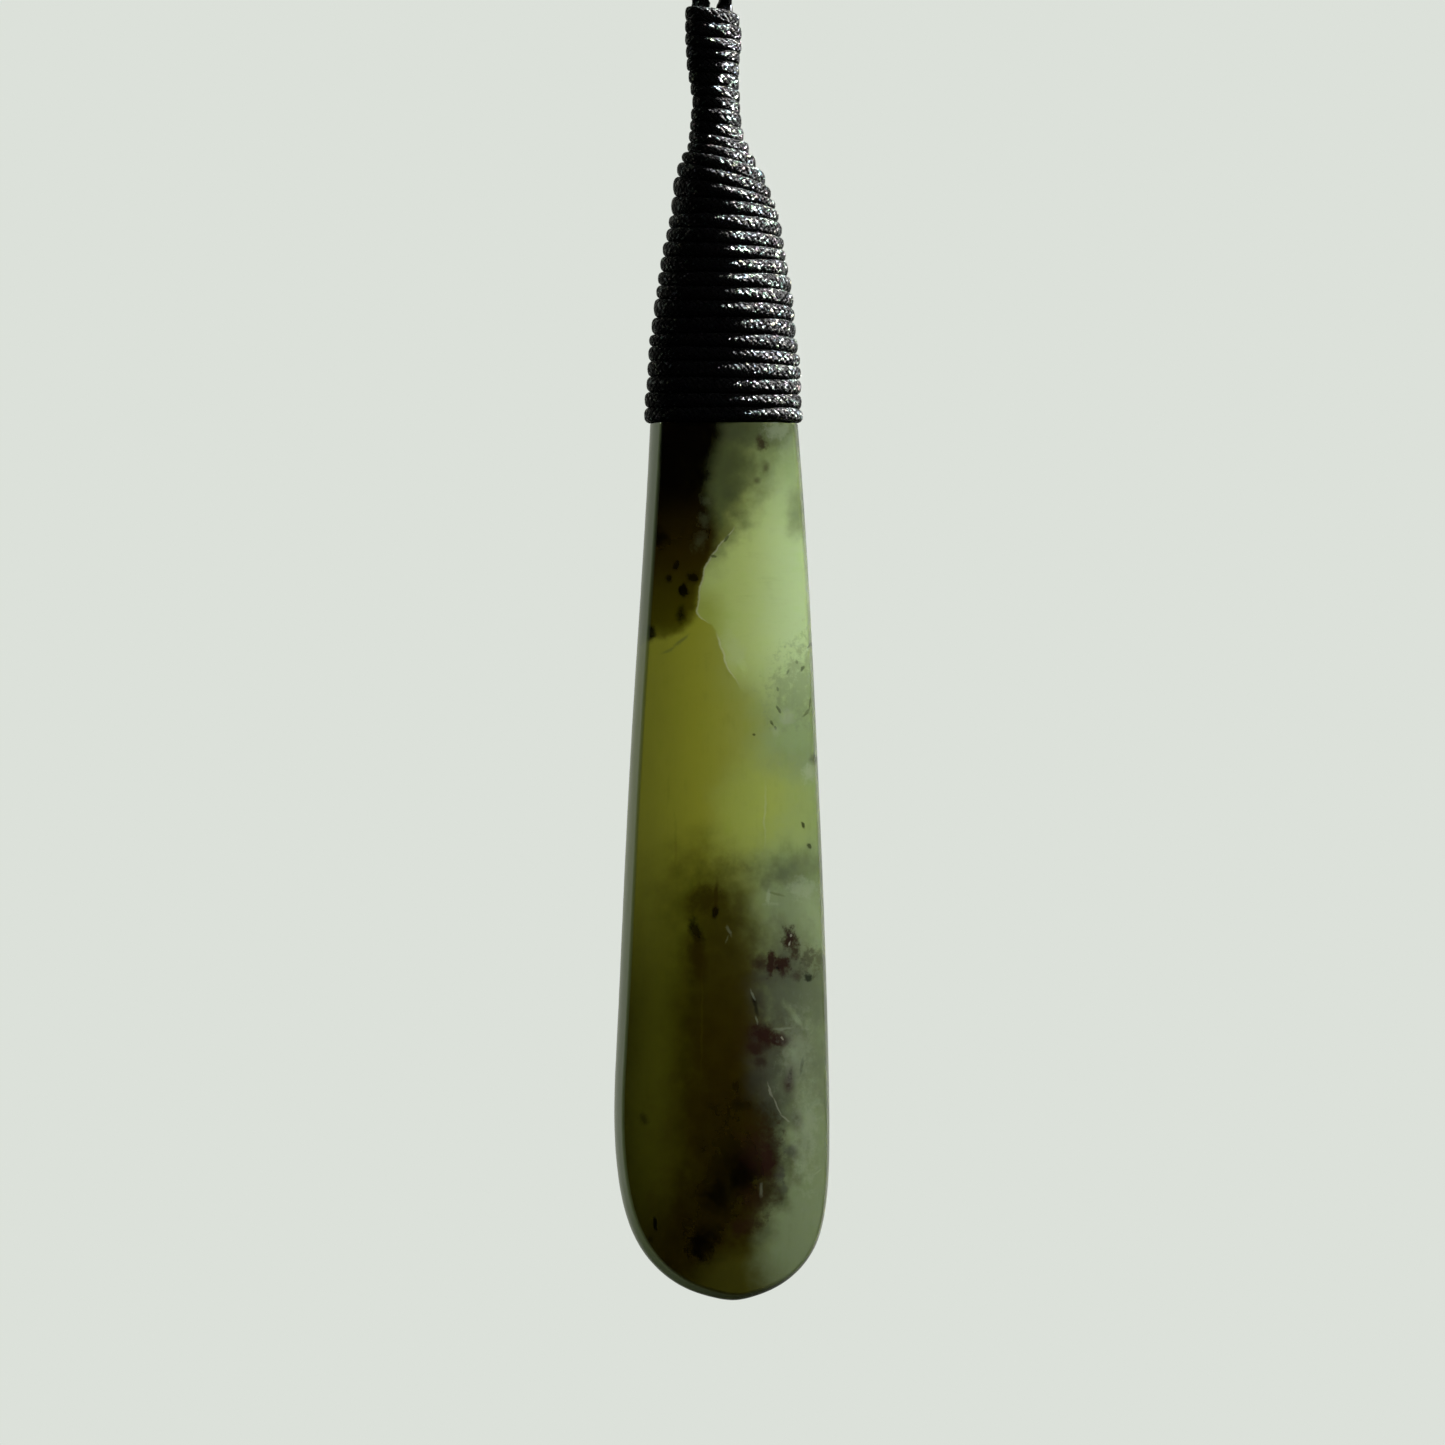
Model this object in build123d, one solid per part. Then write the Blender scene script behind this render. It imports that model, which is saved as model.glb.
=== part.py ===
from build123d import *
from math import asin, atan2, cos, floor, hypot, pi, radians, sin, sqrt, tan
import os

# A greenstone drop on a plaited black neck cord. Millimetres, +Z up, the stone's face towards -Y.
# The origin is the inside of the loop's top, where the cord lies on the neck.

# Neck cord: one plait, round the neck, down both sides and through the stone's tang
CORD = 1.3
NECK_RADIUS = 62.0
LOOP_DROP = 225.0
FORK_RADIUS = 15.0
LEG_SPACING = 1.34
PINCHED_SPACING = 0.88

# Winding: one waxed cord, wound round the two legs and then round the tang
WOUND_CORD = 0.92
NECK_TURN_HEIGHT = 0.81
NECK_TURNS = 12
TANG_TURNS = 18
WINDING_WIDTH = 10.36
WINDING_DEPTH = 6.6
LEAN_WIDTH = 0.83
TURN_GAP = 0.03
NECK_TURN_SEGMENTS = 12
TANG_TURN_SEGMENTS = 20
CORD_SIDES = 6
FIRST_LEVEL_TURN = 20

# How level a turn lies, up to FIRST_LEVEL_TURN and at the foot, and the share of a turn on each side of the
# back over which a level turn steps down to the next
EVEN_LEVEL_SHARE = 0.3
FOOT_LEVEL_SHARE = 1.0
STEP_SHARE = 0.15

# Stone
STONE_LENGTH = 56.9
STONE_WIDTH = 14.0
STONE_THICKNESS = 6.8
STONE_OFFSET = 0.68
CROWN_RADIUS = 15.0
SIDE_FALL = 1.9
EDGE_ROUND = 0.35
BRIDGE_WIDTH = 2.0
TANG_ROOT = 1.0
BLANK_SHARE = 0.6
RIM_SHARE = 0.125

# Clearances
TANG_FIT = 0.1
CHANNEL_FIT = 0.06
SEAT_FIT = 0.05

# Levels, from the origin down
CORD_RADIUS = CORD / 2
NECK_CENTRE_Z = CORD_RADIUS - NECK_RADIUS
WINDING_TOP_Z = NECK_CENTRE_Z - LOOP_DROP
WINDING_LENGTH = (NECK_TURNS * NECK_TURN_HEIGHT + TANG_TURNS * WOUND_CORD
                  + (NECK_TURN_HEIGHT + WOUND_CORD) / 2)
SHOULDER_Z = WINDING_TOP_Z - WINDING_LENGTH - SEAT_FIT

# The winding's outer form, from its top to its foot: how far down as a share of its length, its middle
# as a share of LEAN_WIDTH, its width and depth as shares of WINDING_WIDTH and WINDING_DEPTH, the cord's
# thickness as a share of WOUND_CORD, and its corner as a share of the smaller half size
WINDING_FORM = [
    # down, middle, width, depth, thickness, corner
    (0.000, 0.00, 0.320, 0.35, 0.33, 0.92),
    (0.070, 0.10, 0.361, 0.39, 0.52, 0.92),
    (0.177, 0.18, 0.311, 0.37, 0.40, 0.92),
    (0.236, 0.33, 0.297, 0.37, 0.40, 0.92),
    (0.296, 0.41, 0.330, 0.42, 0.52, 0.90),
    (0.344, 0.60, 0.389, 0.54, 0.75, 0.88),
    (0.372, 0.70, 0.470, 0.68, 0.90, 0.85),
    (0.406, 0.92, 0.568, 0.82, 1.00, 0.82),
    (0.456, 1.00, 0.643, 0.92, 1.00, 0.80),
    (0.551, 1.01, 0.740, 0.98, 1.00, 0.78),
    (0.680, 0.98, 0.853, 1.00, 1.00, 0.76),
    (0.840, 0.96, 0.950, 0.97, 1.00, 0.75),
    (1.000, 0.96, 1.000, 0.93, 1.00, 0.75),
]

# The tang's sections: where on the winding, and its depth and the radius of its two ends as shares of the
# winding's inner depth
TANG_SECTIONS = [
    # down, depth, end
    (1.00, 0.90, 0.56),
    (0.80, 0.88, 0.56),
    (0.60, 0.84, 0.60),
    (0.43, 0.78, 0.62),
]

# Where each leg runs in the winding: how far down, and the legs' spacing as a share of PINCHED_SPACING
LEG_TURN_SHARE = 0.475
LEG_ARC_SHARE = 0.560
PINCH_HEIGHT_SHARE = 0.360
WAIST_HEIGHT_SHARE = 0.236
PINCH_SHARE = 1.10

# The stone's outline: how far down as a share of its length, and its left and right sides as shares of
# half its width, from the stone's own axis
STONE_OUTLINE = [
    # down, left, right
    (0.000, 0.667, 0.704),
    (0.180, 0.750, 0.806),
    (0.360, 0.843, 0.880),
    (0.540, 0.917, 0.944),
    (0.700, 0.977, 0.986),
    (0.800, 1.000, 1.000),
    (0.860, 0.963, 0.991),
    (0.905, 0.884, 0.950),
    (0.940, 0.755, 0.864),
    (0.965, 0.587, 0.722),
    (0.985, 0.357, 0.511),
    (0.996, 0.110, 0.290),
]
FOOT_SHIFT_SHARE = 0.12

# The stone's thickness at even steps down its length, as shares of STONE_THICKNESS
STONE_CROWN = [
    # down, thickness
    (-0.04, 0.79),
    (0.14, 0.82),
    (0.32, 0.88),
    (0.50, 0.94),
    (0.68, 0.985),
    (0.86, 0.95),
    (1.04, 0.32),
]


def winding_form(down):
    """Middle, half width, half depth, thickness and corner of the winding at a share of its length."""
    down = min(max(down, 0.0), 1.0)
    for upper, lower in zip(WINDING_FORM, WINDING_FORM[1:]):
        if down <= lower[0]:
            break
    share = (down - upper[0]) / (lower[0] - upper[0])
    middle, width, depth, thickness, corner = (
        above + (below - above) * share for above, below in zip(upper[1:], lower[1:]))
    half_width = width * WINDING_WIDTH / 2
    half_depth = depth * WINDING_DEPTH / 2
    return (middle * LEAN_WIDTH, half_width, half_depth, thickness * WOUND_CORD,
            corner * min(half_width, half_depth))


def winding_z(down):
    """Height of a share of the winding's length."""
    return WINDING_TOP_Z - down * WINDING_LENGTH


def level_turn(turn):
    """The turns counted down the winding, where each turn lies partly level and steps down at the back."""
    to_foot = (turn - FIRST_LEVEL_TURN) / (NECK_TURNS + TANG_TURNS - 1 - FIRST_LEVEL_TURN)
    to_foot = min(max(to_foot, 0.0), 1.0)
    level = EVEN_LEVEL_SHARE + (FOOT_LEVEL_SHARE - EVEN_LEVEL_SHARE) * to_foot
    part = turn - floor(turn)
    from_back = min(part, 1 - part, STEP_SHARE) / STEP_SHARE
    stepped = from_back / 2 if part < 0.5 else 1 - from_back / 2
    return turn + level * (stepped - part) + to_foot / 2


def turn_drop(turn):
    """How far the cord's middle lies below the winding's top after so many turns."""
    turn = level_turn(turn)
    neck_turns = min(turn, NECK_TURNS)
    tang_turns = max(turn - NECK_TURNS, 0)
    return NECK_TURN_HEIGHT / 2 + neck_turns * NECK_TURN_HEIGHT + tang_turns * WOUND_CORD


def wound_section(turn):
    """The corners of the wound cord's section after so many turns, which run down as the angle grows."""
    drop = turn_drop(turn)
    middle, half_width, half_depth, thickness, corner = winding_form(drop / WINDING_LENGTH)
    angle = pi / 2 + 2 * pi * turn
    across = (half_width - corner) * cos(angle)
    deep = (half_depth - corner) * sin(angle)
    reach = hypot(across, deep)
    radial = Vector(cos(angle), sin(angle), 0)
    point = Vector(
        (half_width - corner) * across / reach + corner * cos(angle),
        (half_depth - corner) * deep / reach + corner * sin(angle),
        0,
    )
    centre = Vector(middle, 0, WINDING_TOP_Z - drop) + point - radial * (thickness / 2)
    half_height = (min(drop - turn_drop(turn - 1), turn_drop(turn + 1) - drop) - TURN_GAP) / 2
    flat = cos(pi / CORD_SIDES)
    corners = []
    for side in range(CORD_SIDES):
        around = pi / CORD_SIDES + 2 * pi * side / CORD_SIDES
        corners.append(centre + radial * (thickness / 2 * cos(around) / flat)
                       + Vector(0, 0, half_height * sin(around)))
    return corners


def triangle(first, second, third):
    """A flat face with three corners."""
    return Face(Wire.make_polygon([first, second, third], close=True))


def make_winding():
    """One cord wound in a single helix, faceted, from the back at the top to the back at the foot."""
    turns = [step / NECK_TURN_SEGMENTS for step in range(NECK_TURNS * NECK_TURN_SEGMENTS)]
    tang_steps = round((TANG_TURNS - STEP_SHARE) * TANG_TURN_SEGMENTS)
    turns += [NECK_TURNS + step / TANG_TURN_SEGMENTS for step in range(tang_steps + 1)]
    sections = [wound_section(turn) for turn in turns]
    faces = [Face(Wire.make_polygon(sections[0], close=True)),
             Face(Wire.make_polygon(sections[-1], close=True))]
    for above, below in zip(sections, sections[1:]):
        for side in range(CORD_SIDES):
            following = (side + 1) % CORD_SIDES
            faces.append(triangle(above[side], below[side], below[following]))
            faces.append(triangle(above[side], below[following], above[following]))
    return Solid(Shell(faces))


def soft_radii(points):
    """The largest radius that the shorter run at each corner leaves room for."""
    radii = []
    for before, corner, after in zip(points, points[1:], points[2:]):
        arriving = Vector(corner) - Vector(before)
        leaving = Vector(after) - Vector(corner)
        half_turn = radians(arriving.get_angle(leaving)) / 2
        radii.append(0.45 * min(arriving.length, leaving.length) / tan(half_turn))
    return radii


def leg_corners(side):
    """The corners of one leg from the tang's side to the neck, their radii, and how steep it leaves."""
    saddle = BRIDGE_WIDTH / 2 + CHANNEL_FIT + CORD_RADIUS
    arc_z = winding_z(LEG_ARC_SHARE)
    arc_x = winding_form(LEG_ARC_SHARE)[0]
    pinch_x = winding_form(PINCH_HEIGHT_SHARE)[0]
    waist_x = winding_form(WAIST_HEIGHT_SHARE)[0]
    exit_x = side * LEG_SPACING / 2
    slope = asin((NECK_RADIUS - abs(exit_x)) / LOOP_DROP)
    fork_z = WINDING_TOP_Z + FORK_RADIUS * tan(slope / 2)
    fork_drop = NECK_CENTRE_Z - fork_z
    reach = hypot(exit_x, fork_drop)
    leave = asin(NECK_RADIUS / reach) - asin(abs(exit_x) / reach)
    touch_x = side * NECK_RADIUS * cos(leave)
    touch_z = NECK_CENTRE_Z - NECK_RADIUS * sin(leave)
    points = [
        (arc_x + side * saddle, 0, arc_z),
        (winding_form(LEG_TURN_SHARE)[0] + side * saddle, 0, winding_z(LEG_TURN_SHARE)),
        (pinch_x + side * PINCHED_SPACING * PINCH_SHARE / 2, 0, winding_z(PINCH_HEIGHT_SHARE)),
        (waist_x + side * PINCHED_SPACING / 2, 0, winding_z(WAIST_HEIGHT_SHARE)),
        (exit_x, 0, fork_z),
        (touch_x, 0, touch_z),
    ]
    return points, soft_radii(points)[:-1] + [FORK_RADIUS], leave


def leg_path(side):
    """The middle of one leg, from the tunnel through the tang to the top of the neck loop."""
    points, radii, leave = leg_corners(side)
    foot_x, _, foot_z = points[0]
    saddle = BRIDGE_WIDTH / 2 + CHANNEL_FIT + CORD_RADIUS
    middle_x = foot_x - side * saddle
    tunnel = ThreePointArc(
        (middle_x, 0, foot_z - saddle),
        (middle_x + side * saddle * sin(pi / 4), 0, foot_z - saddle * cos(pi / 4)),
        (foot_x, 0, foot_z),
    )
    leg = FilletPolyline(*points, radius=radii)
    round_neck = ThreePointArc(
        points[-1],
        (side * NECK_RADIUS * sin((pi / 2 + leave) / 2), 0,
         NECK_CENTRE_Z + NECK_RADIUS * cos((pi / 2 + leave) / 2)),
        (0, 0, NECK_CENTRE_Z + NECK_RADIUS),
    )
    return Wire(tunnel.edges() + leg.edges() + round_neck.edges())


def tube(path, radius):
    """A round tube along a path that starts level in the tang's tunnel."""
    start = Plane(path @ 0, z_dir=path % 0)
    return sweep(start * Circle(radius), path=path)


def make_neck_cord():
    """The whole loop, as two legs that meet in the tang's tunnel and at the top of the neck."""
    return tube(leg_path(-1), CORD_RADIUS) + tube(leg_path(1), CORD_RADIUS)


def stone_wire(depth_share):
    """The stone's outline at a share of half the blank's depth, pulled in as the side falls away."""
    inset = SIDE_FALL * depth_share ** 2
    half = STONE_WIDTH / 2
    sides = [(STONE_OFFSET - left * half, SHOULDER_Z - down * STONE_LENGTH)
             for down, left, right in STONE_OUTLINE]
    sides.append((STONE_OFFSET + FOOT_SHIFT_SHARE * half, SHOULDER_Z - STONE_LENGTH))
    sides += [(STONE_OFFSET + right * half, SHOULDER_Z - down * STONE_LENGTH)
              for down, left, right in reversed(STONE_OUTLINE)]
    level = depth_share * STONE_THICKNESS * BLANK_SHARE
    first, last = sides[0], sides[-1]
    points = [(first[0] + inset, level, first[1])]
    for before, point, after in zip(sides, sides[1:], sides[2:]):
        run_x, run_z = after[0] - before[0], after[1] - before[1]
        length = hypot(run_x, run_z)
        points.append((point[0] - inset * run_z / length, level, point[1] + inset * run_x / length))
    points.append((last[0] - inset, level, last[1]))
    return Wire([Spline(*points), Line(points[-1], points[0])])


def crown_wire(down, thickness):
    """A lens across the stone, wider than the outline, whose two arcs are the front and the back."""
    half = thickness * STONE_THICKNESS / 2
    reach = sqrt(2 * CROWN_RADIUS * half - half ** 2)
    z = SHOULDER_Z - down * STONE_LENGTH
    left, right = (STONE_OFFSET - reach, 0, z), (STONE_OFFSET + reach, 0, z)
    return Wire([ThreePointArc(left, (STONE_OFFSET, -half, z), right),
                 ThreePointArc(right, (STONE_OFFSET, half, z), left)])


def oval_wire(middle, z, half_width, half_depth, end):
    """An oval of four arcs: two ends of a given radius, and the two flatter arcs that meet them."""
    spread = half_width - end
    flatter = (spread ** 2 + half_depth ** 2 - end ** 2) / (2 * (half_depth - end))
    lean = atan2(spread, flatter - half_depth)
    meet_x, meet_y = spread + end * sin(lean), end * cos(lean)
    right_front, right_back = (middle + meet_x, -meet_y, z), (middle + meet_x, meet_y, z)
    left_front, left_back = (middle - meet_x, -meet_y, z), (middle - meet_x, meet_y, z)
    return Wire([
        ThreePointArc(right_front, (middle + half_width, 0, z), right_back),
        ThreePointArc(right_back, (middle, half_depth, z), left_back),
        ThreePointArc(left_back, (middle - half_width, 0, z), left_front),
        ThreePointArc(left_front, (middle, -half_depth, z), right_front),
    ])


def make_tang():
    """The recessed root of the stone, which the winding grips."""
    sections = []
    for down, depth, end in TANG_SECTIONS:
        middle, half_width, half_depth, thickness, _ = winding_form(down)
        inner_width = half_width - thickness - TANG_FIT
        inner_depth = half_depth - thickness - TANG_FIT
        sections.append(oval_wire(middle, winding_z(down), inner_width,
                                  inner_depth * depth, inner_depth * end))
    buried = sections[0].moved(Pos(0, 0, -TANG_ROOT))
    return Solid.make_loft([buried] + sections)


def make_stone():
    """The polished drop with its tang, grooved and bored where the neck cord goes round."""
    blank = Solid.make_loft([stone_wire(-1), stone_wire(0), stone_wire(1)])
    crown = Solid.make_loft([crown_wire(down, thickness) for down, thickness in STONE_CROWN])
    drop = blank & crown
    rims = drop.edges().filter_by(lambda edge: abs(edge.center().Y) > STONE_THICKNESS * RIM_SHARE
                                  and edge.length > STONE_LENGTH)
    drop = fillet(rims, EDGE_ROUND)
    stone = drop + make_tang()
    for side in (-1, 1):
        stone -= tube(leg_path(side), CORD_RADIUS + CHANNEL_FIT)
    return stone


def print_neck_cord(neck_cord):
    """Prints the radii of each leg's corners, and the cord's volume beside its section times its length."""
    for side in (-1, 1):
        print("leg radii, mm:", [round(radius, 1) for radius in leg_corners(side)[1]])
    length = leg_path(-1).length + leg_path(1).length
    print(f"neck cord {length:.1f} mm long: volume {neck_cord.volume:.1f} mm3,",
          f"section times length {pi * CORD_RADIUS ** 2 * length:.1f} mm3")


def main():
    """Writes one STEP file for each piece."""
    os.makedirs("parts", exist_ok=True)
    neck_cord = make_neck_cord()
    print_neck_cord(neck_cord)
    export_step(make_stone(), "parts/stone.step")
    export_step(make_winding(), "parts/winding.step")
    export_step(neck_cord, "parts/neck_cord.step")


main()
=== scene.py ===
"""A long greenstone drop, bound with black waxed cord and hung from a plaited neck cord.

Sizes are in millimetres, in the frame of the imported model: +Z up, the stone's face towards -Y, and the
origin at the inside of the neck loop's top. Meshes, lights and the camera are placed in metres.
"""
import logging
import math
from dataclasses import dataclass
from enum import Enum

import bpy
import numpy as np
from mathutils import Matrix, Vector

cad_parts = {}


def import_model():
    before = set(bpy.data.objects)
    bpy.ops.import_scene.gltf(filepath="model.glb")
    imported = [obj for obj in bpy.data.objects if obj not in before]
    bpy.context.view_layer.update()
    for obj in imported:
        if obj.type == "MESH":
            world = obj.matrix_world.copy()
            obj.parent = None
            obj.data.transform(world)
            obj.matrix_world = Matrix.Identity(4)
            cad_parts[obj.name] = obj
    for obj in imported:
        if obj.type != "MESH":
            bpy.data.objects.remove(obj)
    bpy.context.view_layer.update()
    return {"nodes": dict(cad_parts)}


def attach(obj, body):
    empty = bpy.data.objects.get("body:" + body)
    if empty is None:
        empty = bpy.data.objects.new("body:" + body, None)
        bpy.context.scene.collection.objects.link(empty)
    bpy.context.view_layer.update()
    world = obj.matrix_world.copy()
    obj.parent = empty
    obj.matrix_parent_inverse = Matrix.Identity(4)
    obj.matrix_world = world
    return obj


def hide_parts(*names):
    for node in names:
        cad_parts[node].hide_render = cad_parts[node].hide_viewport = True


LOG = logging.getLogger("greenstone_drop")

MM = 0.001
SAME_PLACE = 1e-6
BRAID_UV = "braid"

# A span is where something is 0 and where it is 1, either of which may be the larger; a band is where it
# leaves 0, comes to 1, leaves 1 and is back at 0
Span = tuple[float, float]
Band = tuple[float, float, float, float]
Colour = tuple[float, float, float]

# The photograph's frame on the object: the side it is seen from in degrees, then in millimetres its middle
# in the stone's plane and its side, and its number of pixels
VIEW_AZIMUTH = -5.5
VIEW_MIDDLE_X = 0.715
VIEW_MIDDLE_Z = -332.92
VIEW_SIDE = 93.9
VIEW_PIXELS = 1445
PIXEL = VIEW_SIDE / VIEW_PIXELS


class Tone(Enum):
    """The greenstone's colours, as linear red, green and blue: mostly its own, while some also serve as
    painted shade and painted reflection.
    """

    BLACK = (0.0012, 0.0008, 0.0004)
    UMBER = (0.020, 0.013, 0.0006)
    PLUM = (0.017, 0.006, 0.004)
    DEEP = (0.036, 0.035, 0.0006)
    OLIVE = (0.232, 0.243, 0.023)
    LEAF = (0.275, 0.325, 0.055)
    LENS = (0.345, 0.425, 0.140)
    MINT = (0.410, 0.530, 0.260)
    SEA = (0.200, 0.270, 0.115)
    DUSK = (0.065, 0.082, 0.028)
    # A dark grey-green: the stone's own smoky tone in some clouds, and painted shade under the winding and on
    # the stone's right wall
    SMOKY_GREEN_AND_SHADE = (0.044, 0.055, 0.020)
    REED = (0.150, 0.190, 0.095)
    MOSS = (0.058, 0.054, 0.001)
    AMBER = (0.250, 0.300, 0.052)
    SLATE = (0.045, 0.048, 0.034)
    FOOT = (0.050, 0.048, 0.005)
    MILK = (0.380, 0.440, 0.300)
    CREAM = (0.620, 0.640, 0.460)


class Number:
    """A number socket of a finish, on which Python sums add Math nodes."""

    def __init__(self, bench: "NodeBench", socket: bpy.types.NodeSocket) -> None:
        """Wraps a socket.

        Args:
            bench: The node bench that the socket belongs to.
            socket: An output socket that gives a number.
        """
        self.bench = bench
        self.socket = socket

    def work(self, operation: str, *terms: "Number | float") -> "Number":
        """Adds a Math node.

        Args:
            operation: The Math node's operation.
            terms: Its terms, in order.

        Returns:
            The node's result.
        """
        node = self.bench.add("ShaderNodeMath", {"operation": operation}, dict(enumerate(terms)))
        return Number(self.bench, node.outputs[0])

    def __add__(self, other: "Number | float") -> "Number":
        """Adds another number."""
        return self.work("ADD", self, other)

    def __radd__(self, other: float) -> "Number":
        """Adds this number to another."""
        return self.work("ADD", other, self)

    def __sub__(self, other: "Number | float") -> "Number":
        """Takes another number away."""
        return self.work("SUBTRACT", self, other)

    def __rsub__(self, other: float) -> "Number":
        """Takes this number away from another."""
        return self.work("SUBTRACT", other, self)

    def __mul__(self, other: "Number | float") -> "Number":
        """Multiplies by another number."""
        return self.work("MULTIPLY", self, other)

    def __rmul__(self, other: float) -> "Number":
        """Multiplies another number by this one."""
        return self.work("MULTIPLY", other, self)

    def __truediv__(self, other: "Number | float") -> "Number":
        """Divides by another number."""
        return self.work("DIVIDE", self, other)

    def __pow__(self, other: "Number | float") -> "Number":
        """Raises to a power."""
        return self.work("POWER", self, other)

    def __abs__(self) -> "Number":
        """Drops the sign."""
        return self.work("ABSOLUTE", self)

    def sine(self) -> "Number":
        """The sine of an angle in radians."""
        return self.work("SINE", self)

    def floor(self) -> "Number":
        """The whole number below."""
        return self.work("FLOOR", self)

    def most(self, other: "Number | float") -> "Number":
        """The larger of two numbers."""
        return self.work("MAXIMUM", self, other)

    def above(self, other: "Number | float") -> "Number":
        """One where this number is larger, else nought."""
        return self.work("GREATER_THAN", self, other)

    def fade(self, nought: float, one: float, most: float = 1.0) -> "Number":
        """Turns smoothly from 0 to 1, or to another value.

        Args:
            nought: Where the result is 0.
            one: Where the result is 1.
            most: The value that it turns to.

        Returns:
            A number from 0 to the value.
        """
        settings = {"interpolation_type": "SMOOTHSTEP", "clamp": True}
        low, high = min(nought, one), max(nought, one)
        at_low, at_high = (0.0, most) if nought < one else (most, 0.0)
        values = {0: self, 1: low, 2: high, 3: at_low, 4: at_high}
        return Number(self.bench, self.bench.add("ShaderNodeMapRange", settings, values).outputs[0])

    def within(self, start: float, full: float, last: float, end: float) -> "Number":
        """Turns smoothly from 0 to 1 and back to 0.

        Args:
            start: Where it leaves 0.
            full: Where it comes to 1.
            last: Where it leaves 1.
            end: Where it is back at 0.

        Returns:
            A number from 0 to 1.
        """
        return self.fade(start, full) * self.fade(end, last)


@dataclass(frozen=True)
class Noise:
    """Cloudy noise: a cloud's size in millimetres, how many finer layers it has and how strong they are."""

    size: float
    detail: float
    rough: float


class NodeBench:
    """Lays out the nodes of one finish."""

    def __init__(self, tree: bpy.types.NodeTree) -> None:
        """Takes over a node tree and clears it.

        Args:
            tree: The node tree of a material or a world.
        """
        self.tree = tree
        tree.nodes.clear()

    def add(self, kind: str, settings: dict | None = None, values: dict | None = None) -> bpy.types.Node:
        """Adds a node.

        Args:
            kind: The node's type.
            settings: Its properties; "points" are a float curve's.
            values: What its sockets hold or are linked to, by name or number.

        Returns:
            The node.
        """
        node = self.tree.nodes.new(kind)
        for name, setting in (settings or {}).items():
            if name == "points":
                self.set_points(node.mapping, setting)
            else:
                setattr(node, name, setting)
        for key, value in (values or {}).items():
            self.join(value, node.inputs[key])
        return node

    def join(self, value: object, socket: bpy.types.NodeSocket) -> None:
        """Links or sets one input socket.

        Args:
            value: A Number, a socket, or a plain value.
            socket: The input socket.
        """
        if isinstance(value, Number):
            value = value.socket
        if isinstance(value, bpy.types.NodeSocket):
            self.tree.links.new(value, socket)
        elif isinstance(value, tuple) and socket.type == "RGBA":
            socket.default_value = (*value, 1.0)
        else:
            socket.default_value = value

    def set_points(self, mapping: bpy.types.CurveMapping, points: list) -> None:
        """Sets a float curve's points.

        Args:
            mapping: The curve mapping, which starts with two points.
            points: Pairs of place and value, from 0 to 1.
        """
        curve = mapping.curves[0]
        while len(curve.points) < len(points):
            curve.points.new(0.5, 0.5)
        for point, (place, value) in zip(curve.points, points):
            point.location = (place, value)
        mapping.update()

    def mix(self, share: "Number | float", first: object, second: object,
            blend: str = "MIX") -> bpy.types.NodeSocket:
        """Mixes two colours.

        Args:
            share: How much of the second colour.
            first: The first colour or its socket.
            second: The second colour or its socket.
            blend: The Mix node's way of blending.

        Returns:
            The mixed colour's socket.
        """
        settings = {"data_type": "RGBA", "blend_type": blend}
        return self.add("ShaderNodeMix", settings, {0: share, 6: first, 7: second}).outputs[2]

    def vector(self, operation: str, *terms: object) -> bpy.types.NodeSocket:
        """Adds a Vector Math node that gives a vector.

        Args:
            operation: The node's operation.
            terms: Its vectors, in order.

        Returns:
            The output socket.
        """
        return self.add("ShaderNodeVectorMath", {"operation": operation}, dict(enumerate(terms))).outputs[0]

    def scaled(self, vector: object, factor: "Number | float") -> bpy.types.NodeSocket:
        """A vector times a number."""
        values = {0: vector, "Scale": factor}
        return self.add("ShaderNodeVectorMath", {"operation": "SCALE"}, values).outputs[0]

    def combined(self, *numbers: "Number | float") -> bpy.types.NodeSocket:
        """The vector of three numbers."""
        return self.add("ShaderNodeCombineXYZ", None, dict(enumerate(numbers))).outputs[0]

    def parts(self, vector: object) -> tuple[Number, Number, Number]:
        """The three numbers of a vector."""
        node = self.add("ShaderNodeSeparateXYZ", None, {0: vector})
        return tuple(Number(self, output) for output in node.outputs)

    def place(self) -> bpy.types.NodeSocket:
        """The shaded point's place, in millimetres."""
        return self.scaled(self.add("ShaderNodeTexCoord").outputs["Object"], 1.0 / MM)

    def noise(self, place: object, noise: Noise, output: str = "Fac") -> bpy.types.NodeSocket:
        """Adds a cloudy noise.

        Args:
            place: Where, in millimetres.
            noise: Its size and its finer layers.
            output: "Fac" for a number, "Color" for three.

        Returns:
            The noise node's output socket.
        """
        values = {"Vector": place, "Scale": 1.0 / noise.size, "Detail": noise.detail,
                  "Roughness": noise.rough}
        return self.add("ShaderNodeTexNoise", None, values).outputs[output]

    def grain(self, place: object, noise: Noise) -> Number:
        """A cloudy noise as a number from 0 to 1."""
        return Number(self, self.noise(place, noise))

    def stray(self, place: object, noise: Noise) -> bpy.types.NodeSocket:
        """A cloudy noise as a vector about nought."""
        return self.vector("SUBTRACT", self.noise(place, noise, "Color"), (0.5, 0.5, 0.5))

    def bump(self, height: Number, depth: float) -> bpy.types.NodeSocket:
        """The normal of a bumpy surface, from a height of 0 to 1 and its range in millimetres."""
        values = {"Height": height, "Distance": depth * MM, "Strength": 1.0}
        return self.add("ShaderNodeBump", None, values).outputs[0]


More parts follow.
